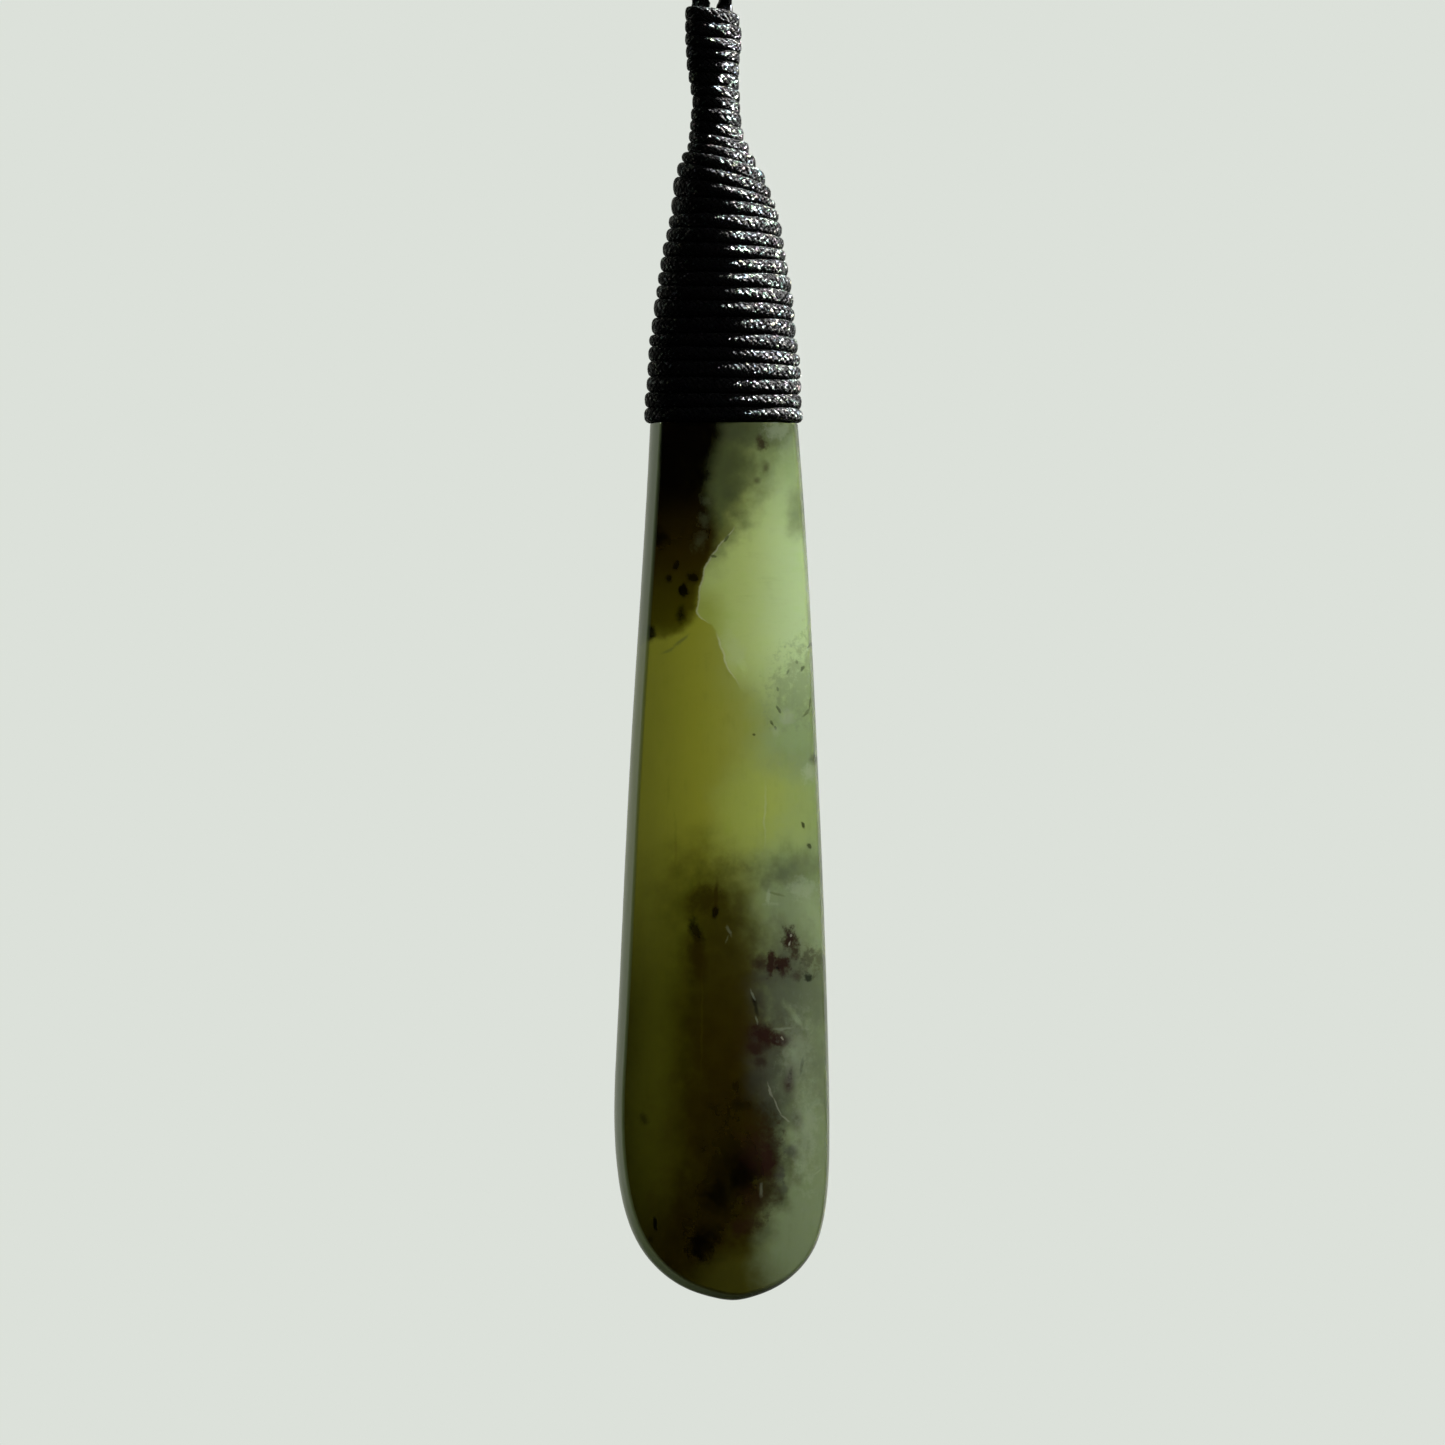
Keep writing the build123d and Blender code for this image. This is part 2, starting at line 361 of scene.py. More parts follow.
@dataclass(frozen=True)
class Finish:
    """What one kind of surface looks like."""

    name: str

    def material(self) -> bpy.types.Material:
        """Builds the material.

        Returns:
            A new material with this finish's nodes.
        """
        made = bpy.data.materials.new(self.name)
        made.use_nodes = True
        bench = NodeBench(made.node_tree)
        shader = self.lay_out(bench)
        bench.add("ShaderNodeOutputMaterial", None, {"Surface": shader.outputs[0]})
        return made

    def lay_out(self, bench: NodeBench) -> bpy.types.Node:
        """Lays out the nodes; each finish has its own.

        Args:
            bench: The material's node bench.

        Returns:
            The shader node.
        """
        raise NotImplementedError


@dataclass(frozen=True)
class Mark:
    """One patch, fleck or inclusion in the stone, with its place and half sizes in the photograph's pixels.

    A tilt in degrees leans its foot to the left, edge is how soft its rim is as a share of its half size,
    and ragged is how much its rim wanders.
    """

    x: float
    y: float
    half_width: float
    half_height: float
    tilt: float
    tone: Tone
    strength: float
    edge: float = 0.35
    ragged: float = 0.3


# The stone's broad clouds of colour, the first laid first; two of them along the top, just under the winding,
# are painted shade
CLOUDS = (
    Mark(728, 462, 24, 58, 6, Tone.SMOKY_GREEN_AND_SHADE, 0.88, 0.7, 0.5),
    Mark(714, 500, 20, 54, 10, Tone.DUSK, 0.85, 0.9, 0.5),
    Mark(742, 505, 16, 34, 20, Tone.DUSK, 0.22, 0.9, 0.6),
    # Painted shade: a slate band along the top, just under the winding, stands in for the winding's shadow on
    # the stone
    Mark(764, 430, 56, 16, 0, Tone.SLATE, 0.45, 0.8, 0.6),
    Mark(803, 513, 12, 20, 0, Tone.DUSK, 0.55, 0.9, 0.9),
    Mark(744, 462, 26, 54, 12, Tone.SMOKY_GREEN_AND_SHADE, 0.55, 0.9, 0.9),
    # Partly painted shade: a dark green cloud just under the winding, for its shadow over the stone's own
    # darker tone
    Mark(768, 430, 26, 16, 0, Tone.SMOKY_GREEN_AND_SHADE, 0.40, 0.9, 0.9),
    Mark(720, 735, 34, 46, 35, Tone.OLIVE, 0.35, 0.5, 0.3),
    Mark(748, 800, 30, 46, 18, Tone.LEAF, 0.45, 0.5, 0.2),
    Mark(790, 812, 34, 40, 0, Tone.LEAF, 0.40, 0.6),
    Mark(798, 762, 30, 14, -6, Tone.REED, 0.42, 0.8, 0.8),
    Mark(795, 866, 32, 20, 0, Tone.DUSK, 0.55, 0.6, 0.9),
    Mark(704, 912, 36, 60, -4, Tone.DEEP, 0.75, 0.8, 0.6),
    Mark(796, 905, 34, 22, 0, Tone.REED, 0.60, 0.6, 0.6),
    Mark(726, 1000, 40, 110, 0, Tone.UMBER, 0.80, 0.6),
    Mark(792, 990, 36, 36, 0, Tone.SLATE, 0.80, 0.5, 0.6),
    Mark(724, 1140, 56, 120, 4, Tone.UMBER, 0.92, 0.6, 0.6),
    Mark(772, 1075, 22, 46, 0, Tone.SLATE, 0.70, 0.6, 0.5),
    Mark(812, 1080, 20, 90, 0, Tone.REED, 0.80, 0.6, 0.3),
    Mark(812, 1180, 22, 80, 0, Tone.REED, 0.70, 0.6, 0.3),
    Mark(684, 1236, 50, 56, 30, Tone.UMBER, 0.92, 0.6, 0.6),
    Mark(744, 1278, 46, 28, 0, Tone.FOOT, 0.90, 0.5),
    Mark(652, 1070, 20, 120, 0, Tone.OLIVE, 0.16, 0.8),
    Mark(806, 1090, 34, 250, 0, Tone.REED, 0.24, 0.3, 0.3),
    Mark(786, 870, 16, 10, -20, Tone.SLATE, 0.40, 0.9, 2.0),
    Mark(812, 930, 18, 34, 0, Tone.MINT, 0.22, 0.8, 0.8),
    Mark(800, 1036, 26, 60, 0, Tone.SLATE, 0.40, 0.9, 0.9),
    Mark(788, 948, 24, 26, -20, Tone.PLUM, 0.40, 0.9, 1.0),
    Mark(770, 1034, 26, 18, 0, Tone.PLUM, 0.40, 0.9, 1.0),
    Mark(748, 1140, 34, 54, -10, Tone.BLACK, 0.40, 0.9, 0.9),
    Mark(756, 1180, 26, 40, 16, Tone.UMBER, 0.70, 0.9, 0.9),
    Mark(722, 1180, 30, 60, 30, Tone.BLACK, 0.45, 0.9, 0.8),
    Mark(792, 1248, 30, 40, 30, Tone.REED, 0.80, 0.6),
)

# The finer marks that show in the stone's face; one small cream fleck on a plum cluster is a painted glint
MARKS = (
    Mark(756, 806, 30, 54, 32, Tone.LEAF, 0.30, 0.5, 0.6),
    Mark(765, 813, 1, 24, 0, Tone.MILK, 0.20, 0.7, 0.3),
    Mark(702, 1020, 1.1, 46, 1, Tone.MOSS, 0.18, 0.6, 0.5),
    Mark(676, 838, 1.2, 26, -2, Tone.DEEP, 0.16, 0.7, 0.9),
    Mark(669, 790, 1.2, 16, 2, Tone.DEEP, 0.12, 0.7, 0.9),
    Mark(804, 888, 12, 9, 10, Tone.MILK, 0.22, 0.9, 2.0),
    Mark(796, 1050, 12, 30, 8, Tone.MILK, 0.16, 0.9, 2.0),
    Mark(806, 1130, 10, 40, 0, Tone.MILK, 0.16, 0.9, 2.0),
    Mark(738, 1160, 14, 34, 12, Tone.BLACK, 0.60, 0.9, 1.2),
    Mark(778, 432, 12, 8, 0, Tone.MILK, 0.26, 0.6, 1.4),
    Mark(790, 446, 8, 16, 10, Tone.MILK, 0.14, 0.7, 1.4),
    Mark(761, 446, 4.5, 6.7, -20, Tone.PLUM, 0.85, 0.7, 1.1),
    Mark(765, 469, 3.4, 4.5, 0, Tone.PLUM, 0.50, 0.7, 0.6),
    Mark(757, 482, 3.4, 3.4, 0, Tone.PLUM, 0.50, 0.7, 0.6),
    Mark(706, 503, 5, 5, 20, Tone.REED, 0.16, 0.8, 1.8),
    Mark(704, 522, 4, 7, 0, Tone.REED, 0.14, 0.8, 1.8),
    Mark(700, 543, 5, 8, 20, Tone.REED, 0.12, 0.8, 1.8),
    Mark(704, 478, 6, 5, 0, Tone.BLACK, 0.80, 0.6, 1.3),
    Mark(659, 537, 8, 11, 0, Tone.BLACK, 0.85, 0.6, 1.3),
    Mark(676, 566, 3, 5, 20, Tone.BLACK, 0.80, 0.6),
    Mark(693, 578, 5, 5, 0, Tone.BLACK, 0.85, 0.6, 0.7),
    Mark(669, 580, 3, 4, 0, Tone.BLACK, 0.70, 0.6),
    Mark(684, 591, 5, 6, 0, Tone.BLACK, 0.95, 0.4, 0.7),
    Mark(681, 614, 5, 8, 10, Tone.BLACK, 0.75, 0.6, 0.7),
    Mark(651, 633, 5, 8, 0, Tone.BLACK, 0.90, 0.5, 0.7),
    Mark(714, 557, 3, 1.4, 0, Tone.DUSK, 0.90, 0.4),
    Mark(726, 540, 1.5, 4, 30, Tone.DUSK, 0.90, 0.4),
    Mark(681, 641, 1.6, 9, 50, Tone.DUSK, 0.50, 0.7),
    Mark(669, 650, 1.4, 7, 66, Tone.DUSK, 0.40, 0.7),
    Mark(735, 652, 8, 17, -25, Tone.MILK, 0.17, 0.7, 1.1),
    Mark(742, 665, 4, 9, -25, Tone.LENS, 0.60, 0.5, 0.6),
    Mark(811, 645, 1.4, 5, 50, Tone.DUSK, 0.70, 0.4),
    Mark(800, 685, 22, 36, 20, Tone.REED, 0.50, 0.7, 2.2),
    Mark(802, 669, 1.6, 3, 30, Tone.BLACK, 0.77, 0.4),
    Mark(797, 662, 1.2, 2, 0, Tone.BLACK, 0.51, 0.4),
    Mark(787, 672, 1.2, 3, 30, Tone.BLACK, 0.51, 0.4),
    Mark(777, 689, 1.2, 2, 0, Tone.BLACK, 0.51, 0.4),
    Mark(779, 709, 1.4, 4, -35, Tone.BLACK, 0.72, 0.4),
    Mark(771, 723, 1.4, 3, -30, Tone.BLACK, 0.68, 0.4),
    Mark(775, 727, 1.2, 2, -40, Tone.BLACK, 0.59, 0.4),
    Mark(754, 734, 1.6, 1.5, 0, Tone.BLACK, 0.68, 0.4),
    Mark(803, 825, 1.5, 3, -25, Tone.BLACK, 0.81, 0.4),
    Mark(809, 846, 1.6, 3, -35, Tone.BLACK, 0.72, 0.4),
    Mark(809, 704, 1.1, 6, 10, Tone.DUSK, 0.80, 0.4),
    Mark(805, 713, 1.1, 5, 40, Tone.DUSK, 0.80, 0.4),
    Mark(787, 717, 6, 6, 0, Tone.MILK, 0.26, 0.7, 1.4),
    Mark(776, 731, 4, 4, 0, Tone.MILK, 0.17, 0.7, 1.4),
    Mark(813, 759, 4, 5, 0, Tone.SLATE, 0.60, 0.6),
    Mark(809, 771, 6, 9, 0, Tone.MILK, 0.35, 0.6, 1.3),
    Mark(768, 897, 2, 8, 8, Tone.MILK, 0.22, 0.5, 1.1),
    Mark(770, 903, 7, 1.6, 0, Tone.MILK, 0.11, 0.6, 1.3),
    Mark(776, 893, 1, 8, -70, Tone.DUSK, 0.50, 0.6),
    Mark(706, 898, 15, 12, -15, Tone.UMBER, 0.70, 0.7, 0.8),
    Mark(716, 895, 2.5, 14, 4, Tone.UMBER, 0.80, 0.6),
    Mark(715, 910, 3, 6, 10, Tone.BLACK, 0.95, 0.5),
    Mark(696, 930, 6, 13, -18, Tone.BLACK, 0.85, 0.6, 0.9),
    Mark(698, 955, 8, 22, -6, Tone.UMBER, 0.90, 0.7, 0.4),
    Mark(729, 929, 1.6, 5, -25, Tone.MILK, 0.14, 0.6, 0.8),
    Mark(727, 937, 1, 4, 20, Tone.MILK, 0.09, 0.6, 0.8),
    Mark(790, 938, 6.7, 11.2, -20, Tone.PLUM, 0.95, 0.6, 1.5),
    Mark(790, 934, 1.3, 1.3, 0, Tone.CREAM, 0.24, 0.4, 0.8),
    Mark(790, 942, 0.9, 2.4, 10, Tone.CREAM, 0.32, 0.4, 0.8),
    Mark(795, 950, 4.5, 9, -10, Tone.PLUM, 0.85, 0.7, 1.5),
    Mark(770, 961, 4.5, 11.2, 6, Tone.PLUM, 0.95, 0.6, 1.5),
    Mark(781, 964, 9, 7.8, 20, Tone.PLUM, 0.95, 0.6, 1.5),
    Mark(777, 966, 3, 3, 0, Tone.BLACK, 0.90, 0.5, 0.5),
    Mark(760, 961, 6.7, 6.7, 30, Tone.PLUM, 0.75, 0.8, 1.1),
    Mark(808, 957, 11.2, 7.8, -20, Tone.PLUM, 0.60, 0.8, 2.2),
    Mark(819, 957, 6.7, 10.1, 0, Tone.PLUM, 0.55, 0.8, 1.9),
    Mark(798, 975, 5.6, 4.5, 0, Tone.PLUM, 0.60, 0.8, 1.9),
    Mark(808, 976, 4, 4, 20, Tone.BLACK, 0.80, 0.5, 1.1),
    Mark(753, 992, 1, 5, -20, Tone.MILK, 0.19, 0.5, 0.8),
    Mark(755, 1003, 2, 10, -12, Tone.BLACK, 0.70, 0.6, 0.5),
    Mark(756, 1018, 1, 4, -15, Tone.MILK, 0.16, 0.5, 0.8),
    Mark(764, 1033, 12.3, 9, 20, Tone.PLUM, 0.95, 0.6, 1.3),
    Mark(756, 1045, 9, 6.7, -20, Tone.PLUM, 0.80, 0.7, 1.3),
    Mark(779, 1038, 10.1, 6.7, 0, Tone.PLUM, 0.95, 0.4, 1.1),
    Mark(779, 1037, 4, 3, 0, Tone.BLACK, 0.80, 0.5, 0.5),
    # Painted glint: a tiny cream fleck on the plum cluster stands in for a white glint
    Mark(782, 1036, 1, 2, -30, Tone.CREAM, 0.28, 0.4, 0.8),
    Mark(760, 1059, 5.6, 5.6, 0, Tone.PLUM, 0.65, 0.8, 1.1),
    Mark(786, 1026, 11, 1.4, -6, Tone.MILK, 0.18, 0.6, 1.1),
    Mark(793, 1012, 14, 3, 50, Tone.REED, 0.60, 0.7, 0.8),
    Mark(789, 1076, 2, 10, 6, Tone.BLACK, 0.85, 0.5, 0.3),
    Mark(788, 1081, 5.6, 11.2, 6, Tone.PLUM, 0.80, 0.8, 1.3),
    Mark(801, 1064, 1.6, 8, 12, Tone.BLACK, 0.55, 0.5, 0.3),
    Mark(770, 1087, 0.9, 8, -20, Tone.CREAM, 0.13, 0.5, 0.5),
    Mark(777, 1103, 0.9, 9, -25, Tone.CREAM, 0.14, 0.5, 0.5),
    Mark(785, 1115, 0.9, 6, -55, Tone.CREAM, 0.12, 0.5, 0.5),
    Mark(797, 1118, 6, 10, 0, Tone.SLATE, 0.60, 0.6, 0.6),
    Mark(736, 1083, 4, 5, 0, Tone.BLACK, 0.40, 0.7, 1.3),
    Mark(742, 1104, 9, 6, 10, Tone.BLACK, 0.80, 0.6, 1.5),
    Mark(748, 1122, 20.2, 17.9, 0, Tone.UMBER, 0.80, 0.8, 1.7),
    Mark(762, 1146, 16.6, 20.6, 0, Tone.PLUM, 0.55, 0.8, 1.9),
    Mark(768, 1158, 9, 20.2, -14, Tone.PLUM, 0.90, 0.7, 1.7),
    Mark(744, 1170, 15, 20, 20, Tone.BLACK, 0.92, 0.6, 1.3),
    Mark(720, 1190, 14, 16, 30, Tone.BLACK, 0.75, 0.7, 1.6),
    Mark(758, 1196, 15.7, 13.4, 0, Tone.PLUM, 0.50, 0.8, 1.7),
    Mark(746, 1222, 15.7, 7.8, -20, Tone.PLUM, 0.70, 0.8, 1.7),
    Mark(701, 1240, 12, 16, 20, Tone.BLACK, 0.92, 0.6, 1.3),
    Mark(713, 1228, 8, 10, 0, Tone.BLACK, 0.75, 0.7, 1.3),
    Mark(761, 1186, 1.9, 6, 0, Tone.MILK, 0.14, 0.6, 1.0),
    Mark(791, 1149, 7, 5, 10, Tone.SLATE, 0.75, 0.6, 0.8),
    Mark(792, 1149, 3, 2.4, 10, Tone.REED, 0.80, 0.6, 0.4),
    Mark(780, 1172, 5, 8, 0, Tone.SLATE, 0.60, 0.7, 0.9),
    Mark(784, 1186, 5, 5, 0, Tone.SLATE, 0.55, 0.7, 0.9),
    Mark(818, 1170, 5, 0.9, -40, Tone.MILK, 0.14, 0.5, 0.7),
    Mark(644, 1116, 4, 5, 0, Tone.BLACK, 0.55, 0.8, 0.9),
    Mark(656, 1220, 2.2, 6, -12, Tone.BLACK, 0.95, 0.4, 0.2),
    Mark(651, 1236, 2.4, 3, 0, Tone.BLACK, 0.45, 0.8, 0.4),
)

@dataclass(frozen=True)
class Layer:
    """A broad layer of one tone, with the spans of the photograph's pixels over which it comes in."""

    tone: Tone
    strength: float
    right: Span
    down: Span | None = None


# The stone's body over its olive ground, the first laid first
BODY = (
    Layer(Tone.SEA, 1.0, (690, 800)),
    Layer(Tone.DEEP, 0.95, (795, 740), (790, 1030)),
    Layer(Tone.REED, 0.9, (745, 790), (830, 930)),
    Layer(Tone.SEA, 0.35, (730, 790), (560, 500)),
)

# Edges inside the stone, each as how far right it lies at some heights, both in the photograph's pixels
BLACK_EDGE = ((420, 726), (444, 724), (466, 717), (490, 712), (520, 716), (540, 719), (556, 715), (576, 708),
              (600, 700), (618, 694), (630, 684), (642, 656), (650, 620))
LENS_EDGE = ((420, 768), (480, 752), (520, 738), (531, 732), (557, 712), (576, 704), (600, 699), (618, 699),
             (628, 713), (648, 721), (668, 728), (687, 740), (720, 765))


@dataclass(frozen=True)
class StoneFinish(Finish):
    """Polished greenstone: cloudy olive and pale green with dark inclusions and healed fractures, with
    painted reflection and painted shade on its walls, painted shade under the winding and one painted glint.

    Tops, feet and the bands of the lens and the crack lie down the photograph, and sides lie across it, all
    in its pixels.
    """

    # The polish: its gloss, how far it is smeared, and in millimetres its waves and how deep light goes
    polish: Noise = Noise(2.4, 3.0, 0.6)
    gloss: float = 0.09
    smear: float = 0.08
    waviness: float = 0.012
    glow: float = 0.7
    # How far the tones stray from their places, in pixels, with how far more in the stone's back
    drift: float = 10.0
    back_drift: float = 90.0
    ruffle: float = 6.0
    fray: float = 3.2
    drift_noise: Noise = Noise(5.5, 2.0, 0.5)
    ruffle_noise: Noise = Noise(1.1, 3.0, 0.6)
    # The rims of marks: how far out they can wander, in half sizes, and how ragged and how soft they are
    scope: float = 3.0
    rag: float = 2.2
    rag_stray: float = 0.1
    rag_noise: Noise = Noise(0.45, 4.0, 0.7)
    soft: float = 2.0
    soft_noise: Noise = Noise(1.3, 3.0, 0.55)
    # Where the face's marks and the back's own pattern lie, in millimetres behind the stone's middle
    front_depth: Span = (1.6, -0.4)
    back_depth: Span = (-1.0, 2.6)
    # The pale lens
    lens_strength: float = 0.92
    lens_band: Band = (430, 540, 640, 735)
    lens_crisp: float = 2.5
    lens_soft: float = 22.0
    lens_crisp_band: Band = (522, 536, 676, 700)
    mint_side: Span = (735, 800)
    amber_strength: float = 0.85
    amber_side: Span = (738, 706)
    amber_band: Band = (575, 612, 630, 668)
    # The black corner
    corner_foot: Span = (668, 620)
    corner_soft: float = 11.0
    corner_umber_foot: Span = (480, 565)
    corner_moss_foot: Span = (545, 640)
    corner_moss: float = 0.9
    beyond_top: Span = (522, 540)
    beyond_soft: float = 2.0
    # The healed fracture
    crack_strength: float = 0.26
    crack_width: float = 2.2
    crack_upper: Band = (526, 536, 619, 627)
    crack_lower: Band = (631, 642, 670, 690)
    # The clouding and the fibres, and the heights in millimetres between which fibres give way to bands
    clouding: float = 0.6
    clouding_noise: Noise = Noise(1.6, 5.0, 0.62)
    fibres: float = 0.6
    fibre_noise: Noise = Noise(0.45, 4.0, 0.65)
    fibre_stretch: tuple = (1.0, 1.0, 0.12)
    bands: float = 0.5
    band_noise: Noise = Noise(0.5, 4.0, 0.6)
    band_stretch: tuple = (0.16, 0.3, 1.0)
    banded: Band = (-330.0, -327.0, -321.0, -317.0)
    # Where the paler and the deeper tint are 0 and full, and how strong they then are
    pale_tint: tuple = (0.0, 0.25, 0.35)
    deep_tint: tuple = (0.0, -0.30, 0.16)
    # The back's own clusters
    cluster_noise: Noise = Noise(4.2, 5.0, 0.68)
    cluster_rim: Span = (0.60, 0.68)
    cluster_strength: float = 0.85
    # Where the surface turns from the front into a wall, and the painted light laid on the walls by the way
    # they face: a painted reflection at the left and at the foot, and painted shade at the right
    wall: Span = (0.95, 0.55)
    wall_painted_light: tuple = (
        # tone, axis, span on that axis, strength
        (Tone.MINT, 0, (-0.1, -0.6), 0.50),
        (Tone.SMOKY_GREEN_AND_SHADE, 0, (0.1, 0.6), 0.45),
        (Tone.REED, 2, (-0.3, -0.8), 0.60),
    )

    def lay_out(self, bench: NodeBench) -> bpy.types.Node:
        """Lays out the stone's colour, polish and depth.

        Args:
            bench: The material's node bench.

        Returns:
            The Principled shader node.
        """
        place = bench.place()
        polish = bench.grain(place, self.polish)
        values = {
            "Base Color": self.colour(bench, place),
            "Roughness": self.gloss + self.smear * polish,
            "IOR": 1.61,
            "Specular IOR Level": 0.45,
            "Subsurface Weight": 0.5,
            "Subsurface Radius": (1.0, 1.0, 0.5),
            "Subsurface Scale": self.glow * MM,
            "Normal": bench.bump(polish, self.waviness),
        }
        return bench.add("ShaderNodeBsdfPrincipled", {"subsurface_method": "RANDOM_WALK"}, values)

    def on_face(self, bench: NodeBench, place: bpy.types.NodeSocket) -> tuple[Number, Number]:
        """Where a point lies on the stone's face, in the photograph's pixels.

        Args:
            bench: The material's node bench.
            place: Where, in millimetres.

        Returns:
            How far right and how far down.
        """
        turn = math.radians(VIEW_AZIMUTH)
        across, deep, up = bench.parts(place)
        right = ((across - VIEW_MIDDLE_X) * math.cos(turn) + deep * math.sin(turn)) / PIXEL + VIEW_PIXELS / 2
        down = (VIEW_MIDDLE_Z - up) / PIXEL + VIEW_PIXELS / 2
        return right, down

    def edge(self, bench: NodeBench, right: Number, down: Number, edge: tuple, soft: float) -> Number:
        """How far a point lies to the right of an edge inside the stone.

        Args:
            bench: The material's node bench.
            right: How far right the point lies, in pixels.
            down: How far down the point lies, in pixels.
            edge: The edge, as pairs of how far down and how far right.
            soft: Half the width over which it turns, in pixels.

        Returns:
            0 left of the edge and 1 right of it.
        """
        top, foot = edge[0][0], edge[-1][0]
        points = [((y - top) / (foot - top), x / VIEW_PIXELS) for y, x in edge]
        height = (down - top) / (foot - top)
        curve = bench.add("ShaderNodeFloatCurve", {"points": points}, {"Value": height})
        return (right - Number(bench, curve.outputs[0]) * VIEW_PIXELS).fade(-soft, soft)

    def share(self, bench: NodeBench, mark: Mark, face: object, ragged: Number) -> Number:
        """How far a mark covers a point.

        Args:
            bench: The material's node bench.
            mark: The mark.
            face: The point's place on the face, in pixels.
            ragged: The wander of ragged rims, about 0.

        Returns:
            From 0 outside the mark to its strength inside.
        """
        values = {
            "Vector": face,
            "Location": (mark.x, mark.y, 0.0),
            "Rotation": (0.0, 0.0, math.radians(mark.tilt)),
            "Scale": (mark.half_width * self.scope, mark.half_height * self.scope, 1.0),
        }
        local = bench.add("ShaderNodeMapping", {"vector_type": "TEXTURE"}, values).outputs[0]
        ball = bench.add("ShaderNodeTexGradient", {"gradient_type": "SPHERICAL"}, {"Vector": local})
        inward = Number(bench, ball.outputs["Fac"])
        inward = ragged.work("MULTIPLY_ADD", ragged, mark.ragged / self.scope, inward)
        rim, soft = 1.0 - 1.0 / self.scope, mark.edge / self.scope
        return inward.fade(rim - soft, rim + soft, mark.strength)

    def colour(self, bench: NodeBench, place: bpy.types.NodeSocket) -> bpy.types.NodeSocket:
        """Lays the stone's tones over each other.

        Args:
            bench: The material's node bench.
            place: Where, in millimetres.

        Returns:
            The colour's socket.
        """
        right, down = self.on_face(bench, place)
        _, deep, _ = bench.parts(place)
        front, back = deep.fade(*self.front_depth), deep.fade(*self.back_depth)
        drift, ruffle = bench.stray(place, self.drift_noise), bench.stray(place, self.ruffle_noise)
        face = bench.combined(right, down, 0.0)
        on_plane = (1.0, 1.0, 0.0)
        crisp = bench.vector("ADD", face, bench.scaled(ruffle, 2 * self.fray))
        crisp = bench.vector("MULTIPLY", crisp, on_plane)
        cloudy = bench.vector("ADD", face, bench.scaled(drift, 2 * self.drift + back * self.back_drift))
        cloudy = bench.vector("ADD", cloudy, bench.scaled(ruffle, 2 * self.ruffle))
        cloudy = bench.vector("MULTIPLY", cloudy, on_plane)
        strayed = bench.vector("ADD", place, bench.scaled(ruffle, self.rag_stray))
        ragged = (bench.grain(strayed, self.rag_noise) - 0.5) * self.rag

        colour = self.body(bench, cloudy)
        colour = self.pale_lens(bench, colour, crisp, cloudy, down)
        soft = (bench.grain(place, self.soft_noise) - 0.5) * self.soft
        for cloud in CLOUDS:
            colour = bench.mix(self.share(bench, cloud, cloudy, soft), colour, cloud.tone.value)
        colour = self.black_corner(bench, colour, crisp, cloudy)
        colour = self.fracture(bench, colour, crisp, front)
        for tone in Tone:
            marks = [mark for mark in MARKS if mark.tone is tone]
            if marks:
                cover = self.share(bench, marks[0], crisp, ragged)
                for mark in marks[1:]:
                    cover = cover.most(self.share(bench, mark, crisp, ragged))
                colour = bench.mix(cover * front, colour, tone.value)
        # The walls' painted reflection and painted shade are laid last
        return self.paint_wall_light(bench, self.grown(bench, colour, place, back))

    def body(self, bench: NodeBench, cloudy: object) -> bpy.types.NodeSocket:
        """Lays the stone's body: olive at the left, pale green at the right and darker below.

        Args:
            bench: The material's node bench.
            cloudy: The point's drifted place on the face, in pixels.

        Returns:
            The colour's socket.
        """
        right, down, _ = bench.parts(cloudy)
        colour = Tone.OLIVE.value
        for layer in BODY:
            cover = right.fade(*layer.right, layer.strength)
            if layer.down:
                cover = cover * down.fade(*layer.down)
            colour = bench.mix(cover, colour, layer.tone.value)
        return colour

    def pale_lens(self, bench: NodeBench, colour: object, crisp: object, cloudy: object,
                  down: Number) -> bpy.types.NodeSocket:
        """Lays the pale lens, which starts at the healed fracture.

        Args:
            bench: The material's node bench.
            colour: The colour so far.
            crisp: The point's place on the face, in pixels.
            cloudy: The point's drifted place on the face, in pixels.
            down: How far down the point lies, in pixels.

        Returns:
            The new colour's socket.
        """
        crisp_right, crisp_down, _ = bench.parts(crisp)
        cloud_right, cloud_down, _ = bench.parts(cloudy)
        sharp = self.edge(bench, crisp_right, crisp_down, LENS_EDGE, self.lens_crisp)
        soft = self.edge(bench, cloud_right, cloud_down, LENS_EDGE, self.lens_soft)
        near = down.within(*self.lens_crisp_band)
        cover = (sharp * near + soft * (1.0 - near)) * cloud_down.within(*self.lens_band)
        tone = bench.mix(crisp_right.fade(*self.mint_side), Tone.LENS.value, Tone.MINT.value)
        amber = crisp_right.fade(*self.amber_side) * crisp_down.within(*self.amber_band)
        tone = bench.mix(amber * self.amber_strength, tone, Tone.AMBER.value)
        return bench.mix(cover * self.lens_strength, colour, tone)

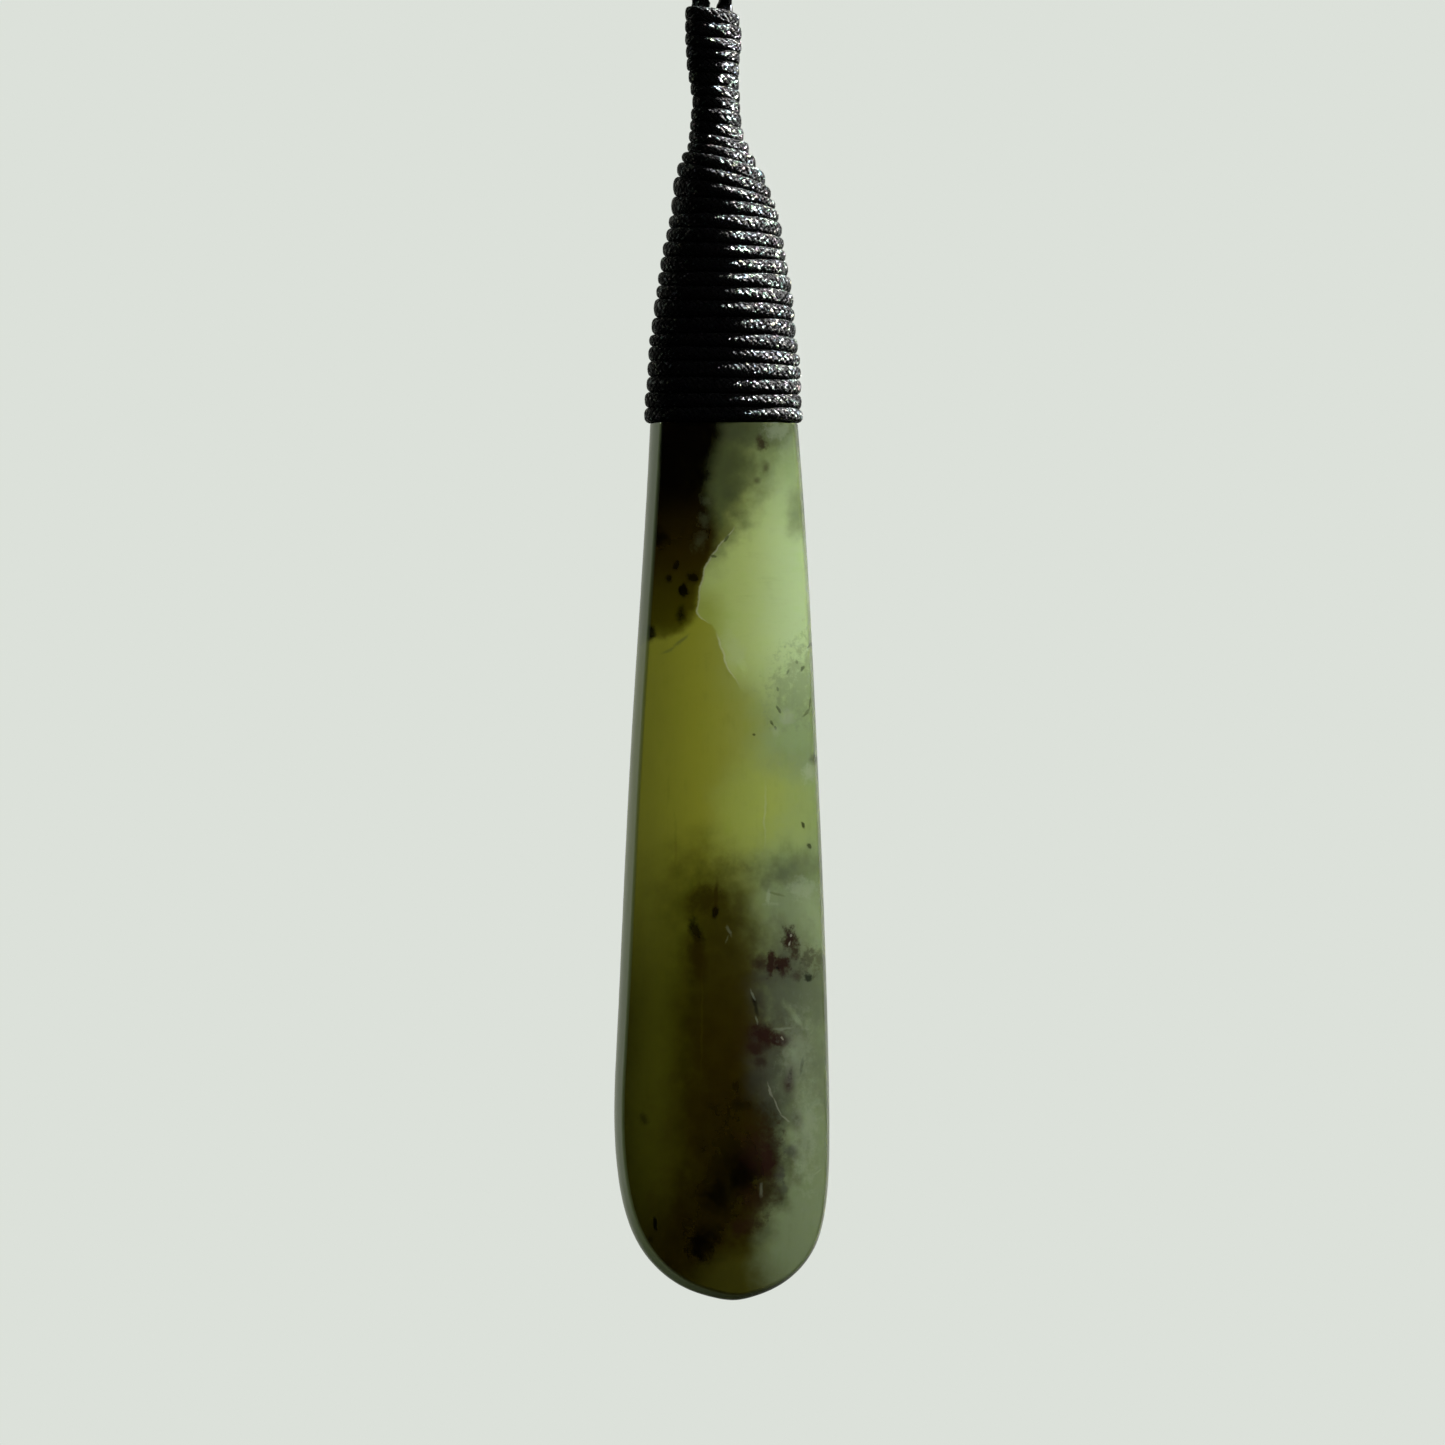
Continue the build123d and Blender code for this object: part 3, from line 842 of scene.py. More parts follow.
    def black_corner(self, bench: NodeBench, colour: object, crisp: object,
                     cloudy: object) -> bpy.types.NodeSocket:
        """Lays the black at the stone's top left, browner towards its foot, and none beyond the fracture.

        Args:
            bench: The material's node bench.
            colour: The colour so far.
            crisp: The point's place on the face, in pixels.
            cloudy: The point's drifted place on the face, in pixels.

        Returns:
            The new colour's socket.
        """
        right, down, _ = bench.parts(crisp)
        beyond = self.edge(bench, right, down, LENS_EDGE, self.beyond_soft) * down.fade(*self.beyond_top)
        right, down, _ = bench.parts(cloudy)
        dark = 1.0 - self.edge(bench, right, down, BLACK_EDGE, self.corner_soft)
        tone = bench.mix(down.fade(*self.corner_umber_foot), Tone.BLACK.value, Tone.UMBER.value)
        tone = bench.mix(down.fade(*self.corner_moss_foot, self.corner_moss), tone, Tone.MOSS.value)
        return bench.mix(dark * down.fade(*self.corner_foot) * (1.0 - beyond), colour, tone)

    def fracture(self, bench: NodeBench, colour: object, crisp: object,
                 front: Number) -> bpy.types.NodeSocket:
        """Lays the bright line of the healed fracture, along the lens's edge.

        Args:
            bench: The material's node bench.
            colour: The colour so far.
            crisp: The point's place on the face, in pixels.
            front: 1 in the stone's face.

        Returns:
            The new colour's socket.
        """
        right, down, _ = bench.parts(crisp)
        beside = self.edge(bench, right, down, LENS_EDGE, self.crack_width)
        # The product is a quarter on the edge itself and nothing at either side of it
        line = (beside * (1.0 - beside) * 4.0) ** 2.0
        line = line * front * (down.within(*self.crack_upper) + down.within(*self.crack_lower))
        return bench.mix(line * self.crack_strength, colour, Tone.CREAM.value)

    def grown(self, bench: NodeBench, colour: object, place: object, back: Number) -> bpy.types.NodeSocket:
        """Adds the stone's faint clouding, fibres and bands, and its back's own clusters.

        Args:
            bench: The material's node bench.
            colour: The colour so far.
            place: Where, in millimetres.
            back: 1 in the stone's back.

        Returns:
            The new colour's socket.
        """
        clouding = bench.grain(place, self.clouding_noise) - 0.5
        fibres = bench.grain(bench.vector("MULTIPLY", place, self.fibre_stretch), self.fibre_noise) - 0.5
        bands = bench.grain(bench.vector("MULTIPLY", place, self.band_stretch), self.band_noise) - 0.5
        _, _, up = bench.parts(place)
        banded = up.within(*self.banded)
        tint = clouding * self.clouding + fibres * self.fibres * (1.0 - banded) + bands * self.bands * banded
        colour = bench.mix(tint.fade(*self.pale_tint), colour, Tone.MILK.value, "SOFT_LIGHT")
        colour = bench.mix(tint.fade(*self.deep_tint), colour, Tone.DEEP.value)
        cluster = bench.grain(place, self.cluster_noise).fade(*self.cluster_rim, self.cluster_strength)
        return bench.mix(cluster * back, colour, Tone.PLUM.value)

    def paint_wall_light(self, bench: NodeBench, colour: object) -> bpy.types.NodeSocket:
        """Lays painted light on the stone's walls by the way they face: a painted reflection that makes them
        paler at the left and the foot, and painted shade that makes them dimmer at the right.

        Args:
            bench: The material's node bench.
            colour: The colour so far.

        Returns:
            The new colour's socket.
        """
        facing = bench.parts(bench.add("ShaderNodeTexCoord").outputs["Normal"])
        wall = abs(facing[1]).fade(*self.wall)
        # Each wall tone is painted light: mint and reed as painted reflection, the dark green as painted
        # shade
        for tone, axis, span, strength in self.wall_painted_light:
            colour = bench.mix(wall * facing[axis].fade(*span, strength), colour, tone.value)
        return colour


# How a float of a braid rises from its sides, and how it falls off towards its ends
RIDGE_POWER = 0.9
END_POWER = 0.35


@dataclass(frozen=True)
class WaxedBraidFinish(Finish):
    """Black waxed braid: short slanting floats with a broken waxy sparkle."""

    carriers: int
    lay: float
    relief: float
    black: Colour = (0.0012, 0.0012, 0.0013)
    cool: Colour = (0.18, 0.22, 0.21)
    warm: Colour = (0.21, 0.21, 0.20)
    tint_noise: Noise = Noise(0.8, 2.0, 0.6)
    tint_turn: Span = (0.4, 0.6)
    chance_tint: float = 0.25
    # Strokes to a float's width and length, and how far apart those of the two ways and of each float lie
    strokes_across: float = 1.6
    strokes_along: float = 0.42
    stroke_ways: float = 7.0
    stroke_luck: float = 0.8
    stroke_noise: Noise = Noise(1.0, 2.0, 0.6)
    wax_noise: Noise = Noise(0.30, 3.0, 0.6)
    # Shares of the bump's height
    float_height: float = 0.12
    float_luck: float = 0.34
    wax_height: float = 0.9
    # The flecks of wax, which are bright where strokes and wax are both high
    wax_share: float = 0.36
    fleck_rim: Span = (0.51, 0.61)
    fleck_metal: Span = (0.0, 0.35)
    fleck_power: float = 2.0
    dull: float = 0.40
    fleck_polish: float = 0.12

    def lay_out(self, bench: NodeBench) -> bpy.types.Node:
        """Lays out the braid's floats, its wax and its sparkle.

        Args:
            bench: The material's node bench.

        Returns:
            The Principled shader node.
        """
        along, around, _ = bench.parts(bench.add("ShaderNodeUVMap", {"uv_map": BRAID_UV}).outputs[0])
        turn = around * (self.carriers / 2)
        step = along / self.lay
        left, right = step + turn, step - turn
        left_wave, right_wave = (left * math.pi).sine(), (right * math.pi).sine()
        over = (left_wave * right_wave).above(0.0)
        under = 1.0 - over
        left_ridge, right_ridge = abs(left_wave), abs(right_wave)
        float_left = (left_ridge ** RIDGE_POWER) * (right_ridge ** END_POWER)
        float_right = (right_ridge ** RIDGE_POWER) * (left_ridge ** END_POWER)
        height = over * float_left + under * float_right
        cell = bench.combined(left.floor(), right.floor(), 0.0)
        chance = bench.add("ShaderNodeTexWhiteNoise", {"noise_dimensions": "3D"}, {"Vector": cell})
        luck = Number(bench, chance.outputs["Value"])
        across, lengthwise = over * left + under * right, over * right + under * left
        stroke_at = bench.combined(across * self.strokes_across, lengthwise * self.strokes_along,
                                   over * self.stroke_ways + luck * self.stroke_luck)
        strokes = bench.grain(stroke_at, self.stroke_noise)
        place = bench.place()
        wax = bench.grain(place, self.wax_noise)
        tall = height * (self.float_height + self.float_luck * luck) + strokes + self.wax_height * wax
        fleck = (strokes * (1.0 - self.wax_share) + wax * self.wax_share).fade(*self.fleck_rim)
        tint = bench.mix(bench.grain(place, self.tint_noise).fade(*self.tint_turn), self.cool, self.warm)
        tint = bench.mix(self.chance_tint, tint, chance.outputs["Color"], "SOFT_LIGHT")
        values = {
            "Base Color": bench.mix(fleck ** self.fleck_power, self.black, tint),
            "Metallic": fleck.fade(*self.fleck_metal),
            "Roughness": self.dull - self.fleck_polish * fleck,
            "IOR": 1.5,
            "Specular IOR Level": 0.04,
            "Normal": bench.bump(tall, self.relief),
        }
        return bench.add("ShaderNodeBsdfPrincipled", None, values)


@dataclass(frozen=True)
class PaleSweepFinish(Finish):
    """The plain pale studio sweep behind the object."""

    pale: Colour

    def lay_out(self, bench: NodeBench) -> bpy.types.Node:
        """Lays out the sweep's plain colour.

        Args:
            bench: The material's node bench.

        Returns:
            The Emission shader node.
        """
        return bench.add("ShaderNodeEmission", None, {"Color": self.pale, "Strength": 1.0})


def skin(name: str, rings: np.ndarray, uv: np.ndarray, closed: bool) -> bpy.types.Object:
    """Makes a mesh object through rings of points.

    Args:
        name: The object's name.
        rings: The rings' points in millimetres, as rings by points by three.
        uv: The rings' braid coordinates, as rings by points plus one by two; a closed run has one ring more.
        closed: Whether the last ring joins the first; otherwise each end is closed by a fan.

    Returns:
        The linked mesh object.
    """
    count, sides, _ = rings.shape
    spans = count if closed else count - 1
    ring, side = np.meshgrid(np.arange(spans), np.arange(sides), indexing="ij")
    after, beside = (ring + 1) % count, (side + 1) % sides
    faces = np.stack([ring * sides + side, after * sides + side, after * sides + beside,
                      ring * sides + beside], -1).reshape(-1, 4)
    uv_faces = np.stack([uv[ring, side], uv[ring + 1, side], uv[ring + 1, side + 1],
                         uv[ring, side + 1]], 2).reshape(-1, 4, 2)
    points = rings.reshape(-1, 3)
    fans = []
    if not closed:
        points = np.vstack([points, rings[0].mean(0), rings[-1].mean(0)])
        first, last = len(points) - 2, len(points) - 1
        base = (count - 1) * sides
        for one in range(sides):
            two = (one + 1) % sides
            fans.append((first, one, two))
            fans.append((last, base + two, base + one))
    mesh = bpy.data.meshes.new(name)
    mesh.vertices.add(len(points))
    mesh.vertices.foreach_set("co", (points * MM).astype(np.float32).ravel())
    loops = np.concatenate([faces.ravel(), np.array(fans, dtype=np.int64).ravel()]).astype(np.int32)
    mesh.loops.add(len(loops))
    mesh.loops.foreach_set("vertex_index", loops)
    sizes = np.concatenate([np.full(len(faces), 4), np.full(len(fans), 3)])
    mesh.polygons.add(len(sizes))
    mesh.polygons.foreach_set("loop_start", np.concatenate([[0], np.cumsum(sizes)[:-1]]).astype(np.int32))
    layer = mesh.uv_layers.new(name=BRAID_UV)
    flat = np.concatenate([uv_faces.reshape(-1, 2), np.zeros((3 * len(fans), 2))])
    layer.data.foreach_set("uv", flat.astype(np.float32).ravel())
    mesh.update(calc_edges=True)
    mesh.validate()
    mesh.shade_smooth()
    made = bpy.data.objects.new(name, mesh)
    bpy.context.scene.collection.objects.link(made)
    return made


def unit(vectors: np.ndarray) -> np.ndarray:
    """The vectors at a length of one."""
    return vectors / np.linalg.norm(vectors, axis=1, keepdims=True)


def square_to(vectors: np.ndarray, tangent: np.ndarray) -> np.ndarray:
    """The vectors turned square to a line's direction, at a length of one."""
    return unit(vectors - tangent * (vectors * tangent).sum(1, keepdims=True))


def run_length(points: np.ndarray) -> np.ndarray:
    """How far each point lies along the line through the points."""
    return np.concatenate([[0.0], np.cumsum(np.linalg.norm(np.diff(points, axis=0), axis=1))])


@dataclass(frozen=True)
class Wander:
    """The slow wander of hand work, as a sum of three waves, the slowest of which has the given length."""

    size: float
    wave: float
    seed: int
    octaves: tuple = (1.0, 1.7, 2.9)
    together: float = 1.6

    def at(self, places: np.ndarray) -> np.ndarray:
        """The wander at places along the work, from about minus its size to its size.

        Args:
            places: Where along the work, in the wave length's units.

        Returns:
            A value for each place.
        """
        chance = np.random.default_rng(self.seed)
        total = np.zeros_like(places)
        for octave in self.octaves:
            start = chance.uniform(0, 2 * math.pi)
            total += np.sin(places * 2 * math.pi * octave / self.wave + start) / octave
        return self.size * (total / self.together)


def braid_height(along: np.ndarray, around: np.ndarray, carriers: int, lay: float) -> np.ndarray:
    """The relief of a braid's floats, from 0 to 1.

    Args:
        along: Millimetres along the cord.
        around: The share of a turn round it.
        carriers: How many strands the braid has.
        lay: The length of one strand's step along the cord.

    Returns:
        The height at each place.
    """
    left = np.sin(math.pi * (along / lay + around * carriers / 2))
    right = np.sin(math.pi * (along / lay - around * carriers / 2))
    over = left * right > 0
    float_left = np.abs(left) ** RIDGE_POWER * np.abs(right) ** END_POWER
    float_right = np.abs(right) ** RIDGE_POWER * np.abs(left) ** END_POWER
    return np.where(over, float_left, float_right)


@dataclass
class Winding:
    """One waxed cord, wound round the two legs of the neck cord and then round the stone's tang."""

    top_z: float = -286.35
    cord: float = 0.92
    neck_pitch: float = 0.81
    neck_turns: int = 12
    tang_turns: int = 18
    upper_tang_turns: int = 10
    # The form's greatest width and depth, and how far its middle then lies to the right
    width: float = 10.36
    depth: float = 6.6
    lean: float = 0.83
    # The cord's braid, whose relief rises and falls about its mean height
    carriers: int = 16
    lay: float = 0.42
    braid_relief: float = 0.03
    braid_mean: float = 0.8
    braid_twist: float = 0.004
    # How far the cord fills the room between its neighbours, and the power that makes its section round
    squeeze: float = 1.04
    flatness: float = 0.78
    # The turns over which its ends are tucked in, and how deep and how thin they then are
    top_tuck: float = 0.20
    foot_tuck: float = 0.07
    tuck_depth: float = 0.8
    tuck_thinning: float = 0.5
    # The mesh's spacing of rings, its sides, and the points of the line that measures the cord
    step: float = 0.085
    sides: int = 26
    line_points: int = 40000
    # Where the turns begin to lie level, how level they are before, and the share of a turn that steps down
    first_level_turn: float = 20.0
    even_level: float = 0.3
    step_share: float = 0.15
    # How the turns wander in and out, in their slant, and up and down
    push: Wander = Wander(0.06, 0.83, 11)
    tilt: Wander = Wander(0.025, 2.6, 21)
    rise: Wander = Wander(0.15, 1.37, 5)
    long_rise: Wander = Wander(0.06, 7.1, 8)
    form: tuple = (
        # down, then the middle, width, depth and thickness as shares of the above, and the corner's roundness
        (0.000, 0.00, 0.320, 0.35, 0.33, 0.92),
        (0.070, 0.10, 0.361, 0.39, 0.52, 0.92),
        (0.177, 0.18, 0.311, 0.37, 0.40, 0.92),
        (0.236, 0.33, 0.297, 0.37, 0.40, 0.92),
        (0.296, 0.41, 0.330, 0.42, 0.52, 0.90),
        (0.344, 0.60, 0.389, 0.54, 0.75, 0.88),
        (0.372, 0.70, 0.470, 0.68, 0.90, 0.85),
        (0.406, 0.92, 0.568, 0.82, 1.00, 0.82),
        (0.456, 1.00, 0.643, 0.92, 1.00, 0.80),
        (0.551, 1.01, 0.740, 0.98, 1.00, 0.78),
        (0.680, 0.98, 0.853, 1.00, 1.00, 0.76),
        (0.840, 0.96, 0.950, 0.97, 1.00, 0.75),
        (1.000, 0.96, 1.000, 0.93, 1.00, 0.75),
    )
    slant: tuple = (
        # down, fall to the right for each millimetre across
        (0.00, 0.05),
        (0.28, 0.07),
        (0.34, 0.14),
        (0.38, 0.34),
        (0.42, 0.24),
        (0.48, 0.08),
        (0.54, 0.01),
        (0.92, 0.02),
        (1.00, -0.02),
    )

    @property
    def length(self) -> float:
        """The winding's length down the pendant."""
        return (self.neck_turns * self.neck_pitch + self.tang_turns * self.cord
                + (self.neck_pitch + self.cord) / 2)

    @property
    def turns(self) -> float:
        """How many turns the cord makes, from its tucked start to its tucked end."""
        return self.neck_turns + self.tang_turns - self.step_share

    def levelled(self, turn: np.ndarray) -> np.ndarray:
        """Counts the turns down the winding, where each lies partly level and steps down at the back.

        Args:
            turn: How many turns from the top.

        Returns:
            How many evenly falling turns would lead as far down.
        """
        last = self.neck_turns + self.tang_turns - 1
        to_foot = np.clip((turn - self.first_level_turn) / (last - self.first_level_turn), 0.0, 1.0)
        level = self.even_level + (1.0 - self.even_level) * to_foot
        part = turn - np.floor(turn)
        from_back = np.minimum(np.minimum(part, 1 - part), self.step_share) / self.step_share
        from_back = np.sin(from_back * math.pi / 2)
        stepped = np.where(part < 0.5, from_back / 2, 1 - from_back / 2)
        return turn + level * (stepped - part) + to_foot / 2

    def drop(self, turn: np.ndarray) -> np.ndarray:
        """How far the cord's middle lies below the winding's top.

        Args:
            turn: How many turns from the top.

        Returns:
            The drop in millimetres.
        """
        turn = self.levelled(turn)
        neck = np.minimum(turn, self.neck_turns)
        tang = np.maximum(turn - self.neck_turns, 0)
        return self.neck_pitch / 2 + neck * self.neck_pitch + tang * self.cord

    def section_at(self, turn: np.ndarray) -> dict[str, np.ndarray]:
        """The cord's centre, outward direction and half sizes, which fill the room between its neighbours.

        Args:
            turn: How many turns from the top.

        Returns:
            Arrays named centre, outward, half_thickness and half_height.
        """
        found = self.line_at(turn)
        centre = found["centre"]
        top = (self.line_at(turn - 1)["centre"][:, 2] + centre[:, 2]) / 2
        foot = (self.line_at(turn + 1)["centre"][:, 2] + centre[:, 2]) / 2
        shrink = 1.0 - self.tuck_thinning * found["tuck"]
        centre[:, 2] = (top + foot) / 2
        return {
            "centre": centre,
            "outward": found["outward"],
            "half_thickness": found["thickness"] / 2 * shrink,
            "half_height": (top - foot) / 2 * self.squeeze * shrink,
        }

    def line_at(self, turn: np.ndarray) -> dict[str, np.ndarray]:
        """The cord's middle line.

        Args:
            turn: How many turns from the top.

        Returns:
            Arrays named centre, outward, thickness and tuck, which is 1 where an end is tucked in.
        """
        drop = self.drop(turn)
        down = drop / self.length
        downs, *columns = np.array(self.form).T
        middle, width, depth, thickness, corner = (np.interp(down, downs, column) for column in columns)
        half_width, half_depth = width * self.width / 2, depth * self.depth / 2
        thickness = thickness * self.cord
        corner = corner * np.minimum(half_width, half_depth)
        angle = math.pi / 2 + 2 * math.pi * turn
        cosine, sine = np.cos(angle), np.sin(angle)
        across, deep = (half_width - corner) * cosine, (half_depth - corner) * sine
        reach = np.hypot(across, deep)
        tuck = np.clip(np.minimum(turn / self.top_tuck, (self.turns - turn) / self.foot_tuck), 0.0, 1.0)
        tuck = 1.0 - np.sin(tuck * math.pi / 2)
        push = self.push.at(turn) - self.tuck_depth * tuck * thickness
        x = (half_width - corner) * across / reach + (corner - thickness / 2 + push) * cosine
        y = (half_depth - corner) * deep / reach + (corner - thickness / 2 + push) * sine
        slant = np.interp(down, *np.array(self.slant).T) + self.tilt.at(turn)
        rise = self.rise.at(turn) + self.long_rise.at(turn)
        centre = np.stack([middle * self.lean + x, y, self.top_z - drop - slant * x + rise], -1)
        outward = np.stack([cosine, sine, np.zeros_like(sine)], -1)
        return {"centre": centre, "outward": outward, "thickness": thickness, "tuck": tuck}

    def build_run(self, name: str, first: float, last: float) -> bpy.types.Object:
        """Skins the cord between two turns.

        Args:
            name: The piece's name.
            first: The turn at which it starts.
            last: The turn at which it ends.

        Returns:
            The mesh object.
        """
        fine = np.linspace(0.0, self.turns, self.line_points)
        run = run_length(self.section_at(fine)["centre"])
        start, stop = np.interp([first, last], fine, run)
        along = np.linspace(start, stop, int((stop - start) / self.step))
        turn = np.interp(along, run, fine)
        found = self.section_at(turn)
        centre = found["centre"]
        tangent = unit(np.gradient(centre, axis=0))
        outward = square_to(found["outward"], tangent)
        upward = np.cross(outward, tangent)
        upward *= np.sign(upward[:, 2:3])
        share = np.arange(self.sides) / self.sides
        twist = along[:, None] * self.braid_twist
        relief = braid_height(along[:, None], share[None, :] + twist, self.carriers, self.lay)
        proud = 1.0 + self.braid_relief / (self.cord / 2) * (relief - self.braid_mean)
        cosine, sine = np.cos(2 * math.pi * share), np.sin(2 * math.pi * share)
        radial = found["half_thickness"][:, None] * proud * np.sign(cosine) * np.abs(cosine) ** self.flatness
        axial = found["half_height"][:, None] * proud * np.sign(sine) * np.abs(sine) ** self.flatness
        rings = (centre[:, None, :] + radial[..., None] * outward[:, None, :]
                 + axial[..., None] * upward[:, None, :])
        edge = np.append(share, 1.0)
        uv = np.stack(np.broadcast_arrays(along[:, None], edge[None, :] + twist), -1)
        return skin(name, rings, uv, closed=False)

    def build(self, finish: Finish) -> list[bpy.types.Object]:
        """Builds the winding in three runs and dresses it.

        Args:
            finish: The waxed cord's finish.

        Returns:
            The pieces.
        """
        material = finish.material()
        half_way = self.neck_turns + self.upper_tang_turns
        runs = {
            "neck_winding": (0.0, self.neck_turns),
            "tang_winding_upper": (self.neck_turns, half_way),
            "tang_winding_lower": (half_way, self.turns),
        }
        pieces = []
        for name, (first, last) in runs.items():
            piece = self.build_run(name, first, last)
            piece.data.materials.append(material)
            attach(piece, "root")
            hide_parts("winding")
            pieces.append(piece)
        return pieces


@dataclass
class NeckCord:
    """The plaited loop: four strands round a core, through the tang and round the neck."""

    cord: float = 1.3
    # The loop: its round top, how far that runs past level at each side in degrees, the points on it, and
    # how far below its middle the winding's top lies
    neck_radius: float = 62.0
    neck_fall: float = 12.0
    neck_points: int = 14
    loop_drop: float = 225.0
    # The spacing of the two legs at the winding's top and inside it, and half of it round the tang
    leg_spacing: float = 1.34
    pinched_spacing: float = 0.88
    saddle: float = 1.71
    # The plait: a round's length, a strand's thickness, how far it swings over and under, and its flattening
    lay: float = 4.2
    strand: float = 0.56
    swing: float = 0.16
    strand_depth: float = 0.9
    strand_breadth: float = 1.12
    core: float = 0.70
    # The mesh's spacing of rings, its sides, and the curve points between two points of the route
    step: float = 0.3
    sides: int = 8
    smoothness: int = 48

    def route(self) -> list[tuple[float, float]]:
        """Lays the route once round the loop, from the tang up the right leg.

        Returns:
            The control points, as across and up.
        """
        centre_z = self.cord / 2 - self.neck_radius
        top_z = centre_z - self.loop_drop
        spaced, pinched = self.leg_spacing / 2, self.pinched_spacing / 2
        legs = (
            # middle, half of the legs' spacing, height above the winding's top
            (0.85, self.saddle, -16.8),
            (0.83, self.saddle, -12.9),
            (0.55, pinched, -9.8),
            (0.27, pinched, -6.4),
            (0.0, spaced, 2.2),
            (0.0, spaced + 9.2, 34.0),
            (0.0, spaced + 25.6, 94.0),
            (0.0, spaced + 42.0, 154.0),
        )
        right = [(middle + half, top_z + height) for middle, half, height in legs]
        left = [(middle - half, top_z + height) for middle, half, height in reversed(legs)]
        fall = math.radians(self.neck_fall)
        span = math.pi + 2 * fall
        radius = self.neck_radius / math.cos(span / 2 / self.neck_points)
        angles = [span * step / self.neck_points - fall for step in range(self.neck_points + 1)]
        neck = [(radius * math.cos(angle), centre_z + radius * math.sin(angle)) for angle in angles]
        return right + neck + left

    def line(self) -> np.ndarray:
        """Points along the route's smooth curve.

        Returns:
            The points in millimetres, evenly spaced, the last beside the first.
        """
        curve = bpy.data.curves.new("neck_route", "CURVE")
        curve.dimensions = "3D"
        spline = curve.splines.new("NURBS")
        points = self.route()
        spline.points.add(len(points) - 1)
        for point, (x, z) in zip(spline.points, points):
            point.co = (x * MM, 0.0, z * MM, 1.0)
        spline.order_u = 3
        spline.use_cyclic_u = True
        curve.resolution_u = self.smoothness
        holder = bpy.data.objects.new("neck_route", curve)
        mesh = bpy.data.meshes.new_from_object(holder)
        found = np.array([vertex.co for vertex in mesh.vertices]) / MM
        bpy.data.objects.remove(holder)
        bpy.data.curves.remove(curve)
        bpy.data.meshes.remove(mesh)
        found = np.vstack([found, found[:1]])
        run = run_length(found)
        keep = np.concatenate([[True], np.diff(run) > SAME_PLACE])
        even = np.linspace(0.0, run[-1], int(run[-1] / self.step) + 1)
        return np.stack([np.interp(even, run[keep], column[keep]) for column in found.T], -1)

    def build(self, finish: Finish) -> bpy.types.Object:
        """Builds the plait and dresses it.

        Args:
            finish: The waxed strands' finish.

        Returns:
            The piece.
        """
        line = self.line()
        closed = line[:-1]
        run = np.linspace(0.0, run_length(line)[-1], len(line))
        along, whole = run[:-1], run[-1]
        deep = np.array([0.0, 1.0, 0.0])
        side = np.cross(deep, self.directions(closed))
        rounds = round(whole / self.lay)
        turned = 2 * math.pi * rounds * along / whole
        strands = []
        for way in (1, -1):
            reach = (self.cord - self.strand) / 2 - self.swing + way * self.swing * np.cos(2 * turned)
            for start in (0.0, math.pi):
                angle = way * turned + start
                outward = np.cos(angle)[:, None] * side + np.sin(angle)[:, None] * deep
                strands.append(self.strand_rings(closed + reach[:, None] * outward, outward))
        strands.append(self.rings(closed, side, deep, self.core, self.core))
        edge = np.arange(self.sides + 1) / self.sides
        uv = np.stack(np.broadcast_arrays(run[:, None], edge[None, :]), -1)
        pieces = [skin(f"neck_strand_{number}", rings, uv, closed=True)
                  for number, rings in enumerate(strands)]
        plait = self.joined(pieces, "neck_plait")
        plait.data.materials.append(finish.material())
        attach(plait, "root")
        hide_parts("neck_cord")
        LOG.info("neck cord: %.0f mm round the loop, %d rounds of the plait", whole, rounds)
        return plait

    def directions(self, closed: np.ndarray) -> np.ndarray:
        """The direction of a closed line at each of its points."""
        return unit(np.roll(closed, -1, axis=0) - np.roll(closed, 1, axis=0))

    def strand_rings(self, centre: np.ndarray, outward: np.ndarray) -> np.ndarray:
        """The rings of one strand, a little flattened towards the plait's middle.

        Args:
            centre: The strand's middle line.
            outward: The direction away from the plait's middle.

        Returns:
            The rings' points.
        """
        tangent = self.directions(centre)
        outward = square_to(outward, tangent)
        sideways = np.cross(tangent, outward)
        depth, breadth = self.strand * self.strand_depth, self.strand * self.strand_breadth
        return self.rings(centre, outward, sideways, depth, breadth)

    def rings(self, centre: np.ndarray, across: np.ndarray, through: np.ndarray, width: float,
              depth: float) -> np.ndarray:
        """Oval rings round a line.

        Args:
            centre: The line.
            across: The direction of the rings' width.
            through: The direction of their depth.
            width: Their width.
            depth: Their depth.

        Returns:
            The rings' points.
        """
        angle = 2 * math.pi * np.arange(self.sides) / self.sides
        wide, deep = width / 2 * np.cos(angle), depth / 2 * np.sin(angle)
        across, through = np.broadcast_arrays(across, through)
        return (centre[:, None, :] + wide[None, :, None] * across[:, None, :]
                + deep[None, :, None] * through[:, None, :])

    def joined(self, pieces: list[bpy.types.Object], name: str) -> bpy.types.Object:
        """Joins mesh objects into one.

        Args:
            pieces: The objects, which are used up.
            name: The joined object's name.

        Returns:
            The joined object.
        """
        with bpy.context.temp_override(active_object=pieces[0], selected_editable_objects=pieces):
            bpy.ops.object.join()
        pieces[0].name = name
        pieces[0].data.name = name
        return pieces[0]


@dataclass
class Stone:
    """The polished drop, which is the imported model's own mesh."""

    finish: StoneFinish = StoneFinish("polished_greenstone")

    def dress(self, node: bpy.types.Object) -> None:
        """Gives the stone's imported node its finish."""
        node.material_slots[0].material = self.finish.material()


